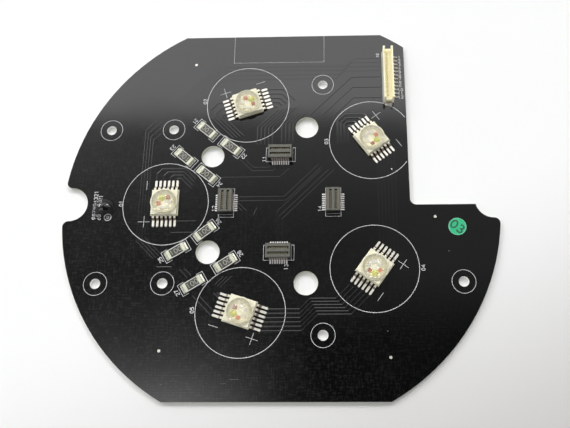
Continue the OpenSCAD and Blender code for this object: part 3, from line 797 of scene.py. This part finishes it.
LEAD_COUNT, LEAD_PITCH, LEAD_FOOT_Y, LEAD_JOINT = 6, 1.5, 7.25, (0.36, 1.45, 0.20)
CONTACT_COUNT, CONTACT_PITCH, CONTACT_FOOT_Y, CONTACT_JOINT = 8, 0.8, 3.25, (0.28, 0.72, 0.24)
PIN_FOOT_X, PIN_JOINT = 42.2, (0.70, 0.28, 0.12)
TAB_INSET, TAB_JOINT = 0.1, (1.4, 0.75, 0.35)
joints = two_rows(leds, LEAD_COUNT, LEAD_PITCH, LEAD_FOOT_Y, LEAD_JOINT)
make_piece("solder_leds", join(joints), solder, smooth=True)
joints = two_rows(sockets, CONTACT_COUNT, CONTACT_PITCH, CONTACT_FOOT_Y, CONTACT_JOINT, rings=3, spokes=12)
make_piece("solder_sockets", join(joints), foot_solder, smooth=True)
joints = [mound((PIN_FOOT_X, y, 0), (0, 0), *PIN_JOINT) for y in pin_places]
make_piece("solder_header_pins", join(joints), pad_solder, smooth=True)
tab_y = corners_mm("header_tabs")[:, 1]
tab_ends = (tab_y.min() + TAB_INSET, tab_y.max() - TAB_INSET)
joints = [mound((header_x, y, 0), (0, 0), *TAB_JOINT) for y in tab_ends]
make_piece("solder_header_tabs", join(joints), solder, smooth=True)

# %% [markdown]
# The chip resistors' joints are bigger: solder climbs each end cap and runs out over the pad in a hollow
# slope. Its height along the way out is a falling power curve, slightly lower towards the two sides.


# %% Solder slopes at the resistors
RES_L, RES_W = 6.35, 3.2
SLOPE_REACH, SLOPE_TUCK, SLOPE_MARGIN, SLOPE_CLIMB, PAD_LIP = 0.95, 0.02, 0.1, 0.9, 0.03


def slope(place, start, reach, half_w, height, side, steps=8, across=8):
    """A closed wedge. At share s out and share t across, its height is (1 - s)^1.7 (1 - 0.25 t^4) of the
    climb above the pad's lip, and its half width is less by the share 0.06 s^2."""
    s, t = np.meshgrid(np.linspace(0, 1, steps + 1), np.linspace(-1, 1, across + 1), indexing="ij")
    x = side * (start + reach * s)
    y = side * half_w * t * (1 - 0.06 * s ** 2)
    z = PAD_LIP + (height - PAD_LIP) * (1 - s) ** 1.7 * (1 - 0.25 * t ** 4)
    flat = local(place, np.stack([x.ravel(), y.ravel()], axis=1))
    top = np.c_[flat, z.ravel() + board_top]
    bottom = np.c_[flat, np.full(len(flat), board_top)]
    rows, cols = steps + 1, across + 1
    i, j = np.meshgrid(np.arange(steps), np.arange(across), indexing="ij")
    a = i * cols + j
    upper = np.stack([a, a + cols, a + cols + 1, a + 1], axis=2).reshape(-1, 4)
    lower = upper[:, ::-1] + rows * cols
    rim = np.concatenate([np.arange(cols), np.arange(1, rows) * cols + across,
                          (rows - 1) * cols + np.arange(across - 1, -1, -1),
                          np.arange(rows - 2, 0, -1) * cols])
    after = np.roll(rim, -1)
    wall = np.stack([rim, after, after + rows * cols, rim + rows * cols], axis=1)
    return np.vstack([top, bottom]), upper.tolist() + lower.tolist() + wall.tolist()


climb = (corners_mm("resistor_1_caps")[:, 2].max() - board_top) * SLOPE_CLIMB
wedges = [slope(place, RES_L / 2 - SLOPE_TUCK, SLOPE_REACH, RES_W / 2 + SLOPE_MARGIN, climb, side)
          for place in resistors for side in (-1, 1)]
make_piece("solder_resistors", join(wedges), dull_solder, smooth=True)

# %% [markdown]
# ## Resistors
# The body is white ceramic. A black overglaze covers the film on its top and leaves a white line along each
# long edge. The value is printed on the glaze in a pale ink; here it is a plain number.


# %% Resistor bodies
def moulded(graph, grain, shade, colour, rough, depth):
    """Two close tones in clouds, and a fine skin in the roughness and the bumps."""
    place = graph.place()
    skin = graph.noise(place, 9.0, 2.0, 0.5)
    return {
        "Base Color": graph.drift(graph.noise(place, grain, 3.0, 0.6), shade, colour),
        "Roughness": graph.drift(skin, *rough),
        "Normal": graph.bump(skin, depth, 0.00002),
    }


def plastic(name, colour, shade, rough, grain=1.2, depth=0.25):
    """A moulded, glazed or printed surface whose roughness drifts by 15 % either way."""
    def paint(graph):
        return moulded(graph, grain, shade, colour, (rough * 0.85, rough * 1.15), depth)
    return finish(name, paint)


ceramic = plastic("alumina", (0.78, 0.77, 0.73), (0.70, 0.69, 0.65), 0.5)
overglaze = plastic("overglaze", (0.062, 0.062, 0.050), (0.045, 0.045, 0.036), 0.35)
value_ink = plastic("value_ink", (0.46, 0.46, 0.40), (0.38, 0.38, 0.33), 0.5)
GLAZE_L, GLAZE_W, GLAZE_T = 4.3, 2.75, 0.03
VALUE_H, VALUE_PEN, STAMP_T = 1.6, 0.2, 0.015
dress(ceramic, *[f"{name}_body" for name in RESISTORS])
body_top = float(corners_mm("resistor_1_body")[:, 2].max())
glazes, values = [], []
for place in resistors:
    line = local(place, [(-GLAZE_L / 2, 0), (GLAZE_L / 2, 0)])
    glazes.append(bead(line, GLAZE_W, GLAZE_T, base=body_top))
    values += [bead(path, VALUE_PEN, STAMP_T, base=body_top + GLAZE_T)
               for path in number("100", place[:2], place[2], VALUE_H)]
make_piece("resistor_glaze", join(glazes), overglaze)
make_piece("resistor_values", join(values), value_ink)

# %% [markdown]
# ## LEDs
# The package is ivory plastic moulded round the leads. Inside the cup six chips lie on the slug: pale ones,
# a red, an orange and a yellow-green one, which is under a blob of phosphor. Fine gold wires lead from the
# chips to the leads' inner ends. A dome of clear silicone covers it all and shows the chips enlarged. The
# dome also gathers more light into the cup than the render does, so the cup's sloping wall and the middle
# of the slug get some light of their own. It is kept low, because in a dark room it would be a glow.

# %% LED bodies
CUP_GLOW, WALL_FACING = 0.3, 0.62
SLUG_GLOW, SPOT_R, SPOT_EDGE = 0.15, 0.2, 1.3
NO_LIGHT = (0.0, 0.0, 0.0)


def paint_ivory(graph):
    """Cream plastic. The cup's wall is the only face of the body that points up by WALL_FACING."""
    wall = graph.ramp(abs(graph.facing() - WALL_FACING), 0.15, 0.08)
    return moulded(graph, 0.8, (0.81, 0.78, 0.60), (0.87, 0.84, 0.66), (0.32, 0.44), 0.3) | {
        "Emission Color": graph.blend(wall, NO_LIGHT, (0.95, 0.89, 0.64)),
        "Emission Strength": CUP_GLOW,
    }


def paint_slug(graph):
    """Pale plating, with the gathered light as a spot on its middle that fades outwards."""
    x, y, _ = graph.split(graph.place())
    spot = graph.ramp(from_nearest(x, y, [led[:2] for led in leds]), SPOT_R, SPOT_EDGE, 1.0, 0.0)
    return clouded(graph, 2.0, (0.92, 0.87, 0.66), (0.97, 0.94, 0.76), (0.36, 0.50), 0.2) | {
        "Metallic": 0.2,
        "Emission Color": graph.blend(spot, NO_LIGHT, (1.0, 0.99, 0.95)),
        "Emission Strength": SLUG_GLOW,
    }


dress(finish("ivory_plastic", paint_ivory), *[f"{name}_housing" for name in LEDS])
dress(finish("slug_plating", paint_slug), *[f"{name}_slug" for name in LEDS])
print(len(LEDS), "LED bodies dressed")

# %% [markdown]
# A chip is too small for its finish to matter, but its colour shows through the dome. The six chips of an
# LED are one solid, so one material colours them by their direction from the LED's middle. All five LEDs
# share one pattern of colours.

# %% Chips
PALE, PALE_COOL, PALE_WARM = (0.92, 0.92, 0.88), (0.90, 0.91, 0.90), (0.94, 0.93, 0.87)
RED, ORANGE, YELLOW_GREEN = (0.48, 0.15, 0.08), (0.80, 0.30, 0.15), (0.70, 0.76, 0.25)
CHIP_TONES = [PALE, RED, YELLOW_GREEN, ORANGE, PALE_WARM, PALE_COOL]
CHIP_COUNT = len(CHIP_TONES)


def chip_finish(name, centre, angle):
    """Six sectors round the LED's middle, each with its chip's tone. The sector is the direction from the
    middle, less the LED's own turn, as a share of a full turn. Half a sector is added, so that a chip lies
    near the middle of its sector, and a full turn, so that the share is never negative."""
    def paint(graph):
        x, y, _ = graph.split(graph.place())
        direction = graph.node("Math", {"operation": "ARCTAN2"}, {0: y - centre[1], 1: x - centre[0]})
        share = (direction - math.radians(angle)) / (2 * math.pi) + 1 + 0.5 / CHIP_COUNT
        share = graph.node("Math", {"operation": "FRACT"}, {0: share})
        stops = [(k / CHIP_COUNT, tone) for k, tone in enumerate(CHIP_TONES)]
        tone = graph.node("ValToRGB", {"stops": stops, "constant_ramp": True}, {"Fac": share})
        return {"Base Color": tone, "Roughness": 0.25}
    return finish(name, paint)


for i, (x, y, turn) in enumerate(leds, 1):
    dress(chip_finish(f"chip_faces_{i}", (float(x), float(y)), turn), f"led_{i}_chips")
print(CHIP_COUNT, "chip tones in each LED")

# %% [markdown]
# The lens is a surface of revolution. Its foot goes a hair deeper than the cup's floor and walls, so that
# the plastic meets the silicone with no film of air between them, as when silicone is poured. The silicone
# is slightly cloudy: it lets most light through and scatters the rest.

# %% Lens
LENS_R, LENS_SIDE, CUP_R, CUP_FLOOR_R, BODY_TOP, RIM_TOP, SINK = 4.15, 3.2, 3.8, 3.0, 2.1, 2.5, 0.03
lens_z = corners_mm("led_1_lens")[:, 2]
lens_low, lens_top = lens_z.min(), lens_z.max()


def lathe(x, y, profile, spokes=72):
    """A profile of radius and height turned round the upright line at x, y: each ring is the middle plus
    radius times cosine and sine. The profile starts and ends on the axis, where all spokes share a point."""
    profile = np.asarray(profile, float)
    a = np.arange(spokes) * 2 * np.pi / spokes
    rings = profile[1:-1]
    ring_x = x + rings[:, :1] * np.cos(a)
    ring_y = y + rings[:, :1] * np.sin(a)
    ring_z = np.broadcast_to(rings[:, 1:], ring_x.shape)
    verts = np.stack([ring_x, ring_y, ring_z], axis=2).reshape(-1, 3)
    verts = np.vstack([verts, [x, y, profile[0, 1]], [x, y, profile[-1, 1]]])
    faces = wrap(len(rings), spokes).tolist()
    bottom, top, last = len(verts) - 2, len(verts) - 1, (len(rings) - 1) * spokes
    faces += [[bottom, (j + 1) % spokes, j] for j in range(spokes)]
    faces += [[top, last + j, last + (j + 1) % spokes] for j in range(spokes)]
    return verts, faces


def dome_profile(radius, low, high, steps=20):
    """A ball's cap on a circle of the given radius: at angle a from the top, the ball's radius times
    sin a out and times cos a above the ball's middle."""
    rise = high - low
    ball = (radius ** 2 + rise ** 2) / (2 * rise)
    widest = math.asin(radius / ball) if rise < radius else math.pi - math.asin(radius / ball)
    a = np.linspace(widest, 0, steps + 1)
    return np.stack([ball * np.sin(a), high - ball + ball * np.cos(a)], axis=1)


def drop(x, y, radius, low, high, steps, spokes):
    """A dome whose foot goes straight down, SINK deep into what it stands on."""
    foot = [(0, low - SINK), (radius, low - SINK)]
    return lathe(x, y, np.vstack([foot, dome_profile(radius, low, high, steps)]), spokes)


def paint_silicone(graph):
    skin = graph.noise(graph.place(), 3.0, 2.0, 0.5)
    return {
        "Base Color": (0.99, 0.975, 0.88),
        "Roughness": graph.drift(skin, 0.03, 0.06),
        "IOR": 1.50,
        "Transmission Weight": 0.88,
    }


silicone = finish("clear_silicone", paint_silicone)
foot = [(0, lens_low - SINK), (CUP_FLOOR_R + SINK, lens_low - SINK), (CUP_R + SINK, board_top + BODY_TOP),
        (LENS_R + SINK, board_top + BODY_TOP), (LENS_R + SINK, board_top + RIM_TOP),
        (LENS_R, board_top + RIM_TOP)]
lens_shape = np.vstack([foot, dome_profile(LENS_R, board_top + LENS_SIDE, lens_top)])
for i, (x, y, _) in enumerate(leds, 1):
    lens = make_piece(f"lens_{i}", lathe(x, y, lens_shape), silicone, smooth=True)
    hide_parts(f"led_{i}_lens")

# %% [markdown]
# The phosphor is a low blob over its chip, and each bond wire is a thin thread that rises from a chip and
# comes down on a lead. A thread is a tube: a ring of points carried along an arch.


# %% Phosphor and bond wires
def thread(start, end, rise, radius, steps=10, sides=6):
    """A closed tube whose middle line goes straight from start to end in plan and adds the arch
    4 rise s (1 - s) in height, with a ring of the given radius across it at each step."""
    s = np.linspace(0, 1, steps + 1)[:, None]
    start, end = np.asarray(start, float), np.asarray(end, float)
    line = start + s * (end - start)
    line[:, 2] += (4 * rise * s * (1 - s))[:, 0]
    along = np.gradient(line, axis=0)
    along /= np.linalg.norm(along, axis=1, keepdims=True)
    side = np.cross(along, [0, 0, 1])
    side /= np.linalg.norm(side, axis=1, keepdims=True)
    up = np.cross(side, along)
    a = np.arange(sides) * 2 * np.pi / sides
    ring = line[:, None] + radius * (np.cos(a)[:, None] * side[:, None] + np.sin(a)[:, None] * up[:, None])
    faces = wrap(steps + 1, sides).tolist()
    ends = [list(range(sides))[::-1], list(range(steps * sides, (steps + 1) * sides))]
    return ring.reshape(-1, 3), faces + ends


phosphor = plastic("phosphor", (0.82, 0.85, 0.22), (0.76, 0.79, 0.16), 0.5, 2.0, 0.5)
CHIP_R, CHIP_T, CHIP_TURN, PHOSPHOR_CHIP = 1.4, 0.15, 5, 2
BLOB_R, BLOB_H = 0.80, 0.3
WIRE_R, WIRE_RISE, WIRE_START, WIRE_LEAN, FINGER_R = 0.025, 0.35, 0.2, 15, 2.75
wires, blobs = [], []
for x, y, turn in leds:
    angles = np.radians(np.arange(CHIP_COUNT) * 360 / CHIP_COUNT + CHIP_TURN + turn)
    chips = np.stack([x + CHIP_R * np.cos(angles), y + CHIP_R * np.sin(angles)], axis=1)
    for chip, angle in zip(chips, angles):
        for lean in (-WIRE_LEAN, WIRE_LEAN):
            way = np.array([math.cos(angle + math.radians(lean)), math.sin(angle + math.radians(lean))])
            start = (*(chip + WIRE_START * way), lens_low + CHIP_T)
            end = (x + FINGER_R * way[0], y + FINGER_R * way[1], lens_low)
            wires.append(thread(start, end, WIRE_RISE, WIRE_R))
    blobs.append(drop(*chips[PHOSPHOR_CHIP], BLOB_R, lens_low, lens_low + BLOB_H, 8, 32))
make_piece("bond_wires", join(wires), gold, smooth=True)
make_piece("phosphor_blobs", join(blobs), phosphor, smooth=True)

# %% [markdown]
# ## Sockets and header
# The sockets are a hard olive-grey plastic, which shows on the faces that look up at their tops; their walls
# and slots are painted much darker, as painted shade. The header is a soft cream nylon that lets some light
# in.
# It gets a little subsurface scattering and some light of its own, most of it inside the trough, for what
# soaks through the thin walls.

# %% Sockets and header
SOCKET_DEEP, SOCKET_TOP = 3.0, 3.3
SOCKET_SHADE = (0.008, 0.0075, 0.006)
HEADER_INSIDE, HEADER_DEPTH, NYLON_GLOW = (1.45, 9.9), 4.2, 0.16


def paint_socket(graph):
    """The own tone above SOCKET_TOP on faces that look up, and painted shade below SOCKET_DEEP and on walls.
    """
    z = graph.split(graph.place())[2] - float(board_top)
    unshaded_top = graph.ramp(z, SOCKET_DEEP, SOCKET_TOP) * graph.ramp(graph.facing(), 0.3, 0.6)
    surface = moulded(graph, 1.2, (0.092, 0.092, 0.074), (0.12, 0.12, 0.098), (0.36, 0.48), 0.25)
    # The walls and slots get a near-black painted shade.
    surface["Base Color"] = graph.blend(unshaded_top, SOCKET_SHADE, surface["Base Color"])
    return surface


def paint_nylon(graph):
    """Cream nylon. Its own light is strongest inside the trough, which is HEADER_INSIDE to either side of
    the middle and lower than HEADER_DEPTH, and much weaker outside."""
    x, y, z = graph.split(graph.place())
    across = abs(x - float(header_x)) - HEADER_INSIDE[0]
    along = abs(y - float(header_y)) - HEADER_INSIDE[1]
    outside = across.at_least(along).at_least(z - float(board_top) - HEADER_DEPTH)
    return moulded(graph, 0.5, (0.88, 0.84, 0.62), (0.92, 0.88, 0.67), (0.38, 0.52), 0.3) | {
        "Subsurface Weight": 0.3,
        "Subsurface Radius": (1.0, 0.9, 0.6),
        "Subsurface Scale": 0.0015,
        "Emission Color": graph.blend(graph.ramp(outside, 0.1, 0.0), (0.25, 0.23, 0.16), (0.90, 0.84, 0.58)),
        "Emission Strength": NYLON_GLOW,
    }


dress(finish("socket_plastic", paint_socket), *[f"{name}_housing" for name in SOCKETS])
dress(finish("cream_nylon", paint_nylon), "header_housing")
print(len(SOCKETS), "sockets and the header dressed")

# %% [markdown]
# ## Marks, label and bumper
# Bare copper dots help the machine that places the pieces to find the board. Each is a flat plate that
# stands a little above the mask, because it is the simplest closed shape that shows as a sharp dot.

# %% Fiducial dots
FIDUCIALS = [(-32.4, 54.9), (53.5, -5.6), (-38.4, -50.6), (36.75, -52.9)]
SMALL_FIDUCIAL = (39.25, 12.07)
FIDUCIAL_R, SMALL_FIDUCIAL_R, COPPER_T = 0.5, 0.24, 0.03


def disc(x, y, r, low, high, spokes=32):
    """A flat round plate."""
    return lathe(x, y, [(0, low), (r, low), (r, high), (0, high)], spokes)


dots = [disc(x, y, FIDUCIAL_R, board_top, board_top + COPPER_T) for x, y in FIDUCIALS]
dots.append(disc(*SMALL_FIDUCIAL, SMALL_FIDUCIAL_R, board_top, board_top + COPPER_T, 20))
make_piece("fiducial_dots", join(dots), bare_copper)

# %% [markdown]
# A few scratches and specks keep the board from looking newly made. A scratch is a thin, low bead and a
# speck a flat mound, both dull grey, so that they show on the glossy black.

# %% Dirt and scratches
SCRATCHES = [[(-8.0, -2.0), (-8.6, -3.1), (-9.0, -4.5)], [(-15.0, -59.6), (-12.0, -59.7)],
             [(-18.0, -61.0), (-16.0, -60.9)], [(-30.6, -6.4), (-29.4, -6.4)]]
SPECKS = [(57.5, -17.8), (36.0, -44.5), (-37.0, -61.2)]
SCRATCH_W, SCRATCH_H, SPECK = 0.14, 0.01, (0.24, 0.20, 0.03)
dirt = plastic("dirt", (0.12, 0.12, 0.115), (0.07, 0.07, 0.068), 0.8)
marks = [bead(path, SCRATCH_W, SCRATCH_H) for path in SCRATCHES]
marks += [mound((x, y, 0), (0, 0), *SPECK, rings=3, spokes=12) for x, y in SPECKS]
make_piece("dirt_marks", join(marks), dirt)

# %% [markdown]
# The inspector's label is a round green film with a plain number stamped in dark ink. Its rim is worn
# paler. The edge of the worn part is a circle that a noise makes ragged, since wear is never even.

# %% Label
LABEL_R, LABEL_WORN = 3.05, 0.15
LABEL_NUMBER_TURN, LABEL_NUMBER_H, LABEL_PEN = -40, 2.8, 0.55
label_x, label_y, _ = middle_mm("inspection_label")


def paint_label(graph):
    """Green, and paler outside a circle whose edge is made ragged by a noise."""
    place = graph.place()
    x, y, _ = graph.split(place)
    radius = from_nearest(x, y, [(label_x, label_y)]) + graph.noise(place, 2.0, 3.0) * 0.3
    worn = graph.ramp(radius, LABEL_R - LABEL_WORN, LABEL_R + LABEL_WORN)
    cloud = graph.noise(place, 1.0, 3.0, 0.6)
    green = graph.blend(cloud, (0.010, 0.40, 0.17), (0.018, 0.52, 0.24))
    return {
        "Base Color": graph.blend(worn, green, (0.24, 0.60, 0.40)),
        "Roughness": 0.45,
        "Normal": graph.bump(cloud, 0.3),
    }


dress(finish("green_label", paint_label), "inspection_label")
dark_ink = plastic("stamp_ink", (0.010, 0.10, 0.055), (0.006, 0.07, 0.04), 0.5)
label_top = float(corners_mm("inspection_label")[:, 2].max())
stamp = [bead(path, LABEL_PEN, STAMP_T, base=label_top)
         for path in number("03", (label_x, label_y), LABEL_NUMBER_TURN, LABEL_NUMBER_H)]
make_piece("label_number", join(stamp), dark_ink)

# %% [markdown]
# The clear dome is a stick-on bumper, turned from a ball's cap as the lenses are. Its glue wets the mask,
# so that the mask doesn't mirror there: a thin dark disc that mirrors nothing stands for glue and mask.

# %% Bumper
GLUE_T, GLUE_MARGIN = 0.012, 0.2


def paint_wetted(graph):
    """The mask under the bumper's glue. Glue and mask bend light alike, so nothing is mirrored there."""
    cloud = graph.noise(graph.place(), 2.0, 3.0, 0.6)
    return {
        "Base Color": graph.blend(cloud, (0.003, 0.003, 0.003), (0.006, 0.006, 0.006)),
        "Roughness": 0.6,
        "Specular IOR Level": 0.0,
    }


def paint_rubber(graph):
    skin = graph.noise(graph.place(), 2.0, 2.0, 0.5)
    return {
        "Base Color": (0.93, 0.94, 0.93),
        "Roughness": graph.drift(skin, 0.04, 0.09),
        "IOR": 1.46,
        "Transmission Weight": 1.0,
    }


bumper_x, bumper_y, _ = middle_mm("clear_bumper")
bumper_box = corners_mm("clear_bumper")
bumper_top, bumper_r = bumper_box[:, 2].max(), (bumper_box[:, 0].max() - bumper_box[:, 0].min()) / 2
glue = disc(bumper_x, bumper_y, bumper_r - GLUE_MARGIN, board_top - SINK, board_top + GLUE_T, 96)
make_piece("bumper_glue", glue, finish("wetted_mask", paint_wetted))
dome = drop(bumper_x, bumper_y, bumper_r, board_top, bumper_top, 24, 96)
bumper = make_piece("bumper_dome", dome, finish("clear_rubber", paint_rubber), smooth=True)
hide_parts("clear_bumper")

# %% [markdown]
# ## Floor, room and light
# A white floor fills the picture. The key light stands at the upper left, so the floor is brightest there,
# and a painted shade greys it towards the lower right and fades back to white far from the board.

# %% Floor
FLOOR_HALF = 2500.0
FLOOR_NEAR, FLOOR_SHADE = (0.89, 0.90, 0.895), (0.53, 0.515, 0.505)
FALL_X, FALL_Y, FALL_OFF = 0.35, 0.94, (10, 130)
CLEARING = (260, 800)


def paint_floor(graph):
    """Painted shade: grey grows along the direction (FALL_X, -FALL_Y) and is cleared again far from the
    middle.
    """
    x, y, _ = graph.split(graph.place())
    cleared = graph.ramp(from_nearest(x, y, [(0, 0)]), *CLEARING, 1.0, 0.0)
    # The grey towards the lower right is painted shade in the floor's colour.
    painted_shade = graph.ramp(x * FALL_X - y * FALL_Y, *FALL_OFF) * cleared
    tone = graph.blend(painted_shade, FLOOR_NEAR, FLOOR_SHADE)
    return {"Base Color": tone, "Roughness": 0.6, "Specular IOR Level": 0.2}


floor_mesh = bpy.data.meshes.new("floor")
corner = FLOOR_HALF * MM
corners = [(-corner, -corner, 0), (corner, -corner, 0), (corner, corner, 0), (-corner, corner, 0)]
floor_mesh.from_pydata(corners, [], [(0, 1, 2, 3)])
floor_mesh.materials.append(finish("white_floor", paint_floor))
floor = bpy.data.objects.new("floor", floor_mesh)
bpy.context.scene.collection.objects.link(floor)
print("floor", 2 * corner, "m wide")

# %% [markdown]
# The black board shows the room above it like a dark mirror, so the room has a shape too: a ceiling that
# is dim overhead and brighter further back, with a faint patch between, a bright panel high behind the
# board, a dark gap towards the front and right, a hazy glow towards the front and left, walls that are
# brighter on the left and behind, and one small lamp that puts a glint on the domes. Smooth steps make all
# of these. A direction in the room is written as u and v, its x and y divided by its height, and each edge
# below is the pair of values between which a step goes. The camera itself sees plain pale grey past the
# floor.

# %% World
CEILING_NEAR, CEILING_FAR, CEILING_EDGE = 0.21, 0.68, (0.26, 0.46)
PATCH_LEVEL, PATCH_NEAR, PATCH_FAR, PATCH_SIDE = 0.12, (0.18, 0.24), (0.34, 0.28), (0.0, 0.12)
GAP_EDGE, GAP_SIDE = (0.20, 0.10), (-0.16, -0.02)
HAZE, HAZE_SIDE = [((0.20, 0.10), 0.3), ((0.12, 0.05), 0.7), ((0.07, 0.01), 1.6)], (-0.07, -0.27)
WALL_DIM, WALL_BRIGHT = 0.36, 0.88
WALL_SIDE, WALL_FRONT, WALL_BACK = (0.60, 0.80), (-0.15, -0.35), (1.3, 1.5)
PANEL_LEVEL, PANEL_NEAR, PANEL_FAR, PANEL_SIDE = 2.95, (0.495, 0.515), (1.5, 1.3), (1.3, 1.1)
ROOM_U = -0.1
LAMP_LEVEL, LAMP_U, LAMP_V, LAMP_EDGE = 14.0, 0.45, 0.89, (0.17, 0.10)
SEEN_LEVEL = 0.95
world = bpy.data.worlds.new("room")
bpy.context.scene.world = world
world.use_nodes = True
room = Graph(world.node_tree)
wx, wy, wz = room.split(room.node("TexCoord"))
height = wz.at_least(0.05)
u, v = wx / height, wy / height
sideways = abs(u - ROOM_U)
patch = room.ramp(v, *PATCH_NEAR) * room.ramp(v, *PATCH_FAR) * room.ramp(u, *PATCH_SIDE)
ceiling = room.ramp(v, *CEILING_EDGE, CEILING_NEAR, CEILING_FAR) + patch * PATCH_LEVEL
gap = room.ramp(v, *GAP_EDGE) * room.ramp(u, *GAP_SIDE)
haze = sum(room.ramp(v, *edge) * level for edge, level in HAZE)
overhead = ceiling * (1 - gap) + haze * room.ramp(u, *HAZE_SIDE)
walls = room.ramp((wy - wx) * 0.7, -0.7, 0.7, WALL_DIM, WALL_BRIGHT)
low = room.ramp(sideways, *WALL_SIDE).at_least(room.ramp(v, *WALL_FRONT)).at_least(room.ramp(v, *WALL_BACK))
panel = room.ramp(v, *PANEL_NEAR) * room.ramp(v, *PANEL_FAR) * room.ramp(sideways, *PANEL_SIDE)
lamp = room.ramp(abs(u - LAMP_U), *LAMP_EDGE) * room.ramp(abs(v - LAMP_V), *LAMP_EDGE)
radiance = overhead * (1 - low) + walls * low
radiance = radiance * (1 - panel) + panel * PANEL_LEVEL + lamp * LAMP_LEVEL
path_kind = world.node_tree.nodes.new("ShaderNodeLightPath")
seen = Wire(room, path_kind.outputs["Is Camera Ray"])
strength = seen * SEEN_LEVEL + (1 - seen) * radiance
background = room.node("Background", inputs={"Color": (1.0, 1.0, 1.0), "Strength": strength})
world_out = world.node_tree.nodes.new("ShaderNodeOutputWorld")
world.node_tree.links.new(background.socket, world_out.inputs["Surface"])
print("room of", len(world.node_tree.nodes), "nodes")

# %% [markdown]
# One soft key light at the upper left gives the shadows their side. It is a panel of real size, so that
# the shadows' edges are soft, and it is turned to look at the middle of the board.

# %% Key light
key_data = bpy.data.lights.new("key", "AREA")
key_data.shape = "RECTANGLE"
key_data.size, key_data.size_y = 0.35, 0.25
key_data.energy = 1.1
key = bpy.data.objects.new("key", key_data)
key.location = (-0.55, 0.42, 0.55)
key.rotation_euler = key.location.to_track_quat("Z", "Y").to_euler()
bpy.context.scene.collection.objects.link(key)
bpy.context.scene.view_settings.view_transform = "Standard"
print("key light of", key_data.energy, "W")
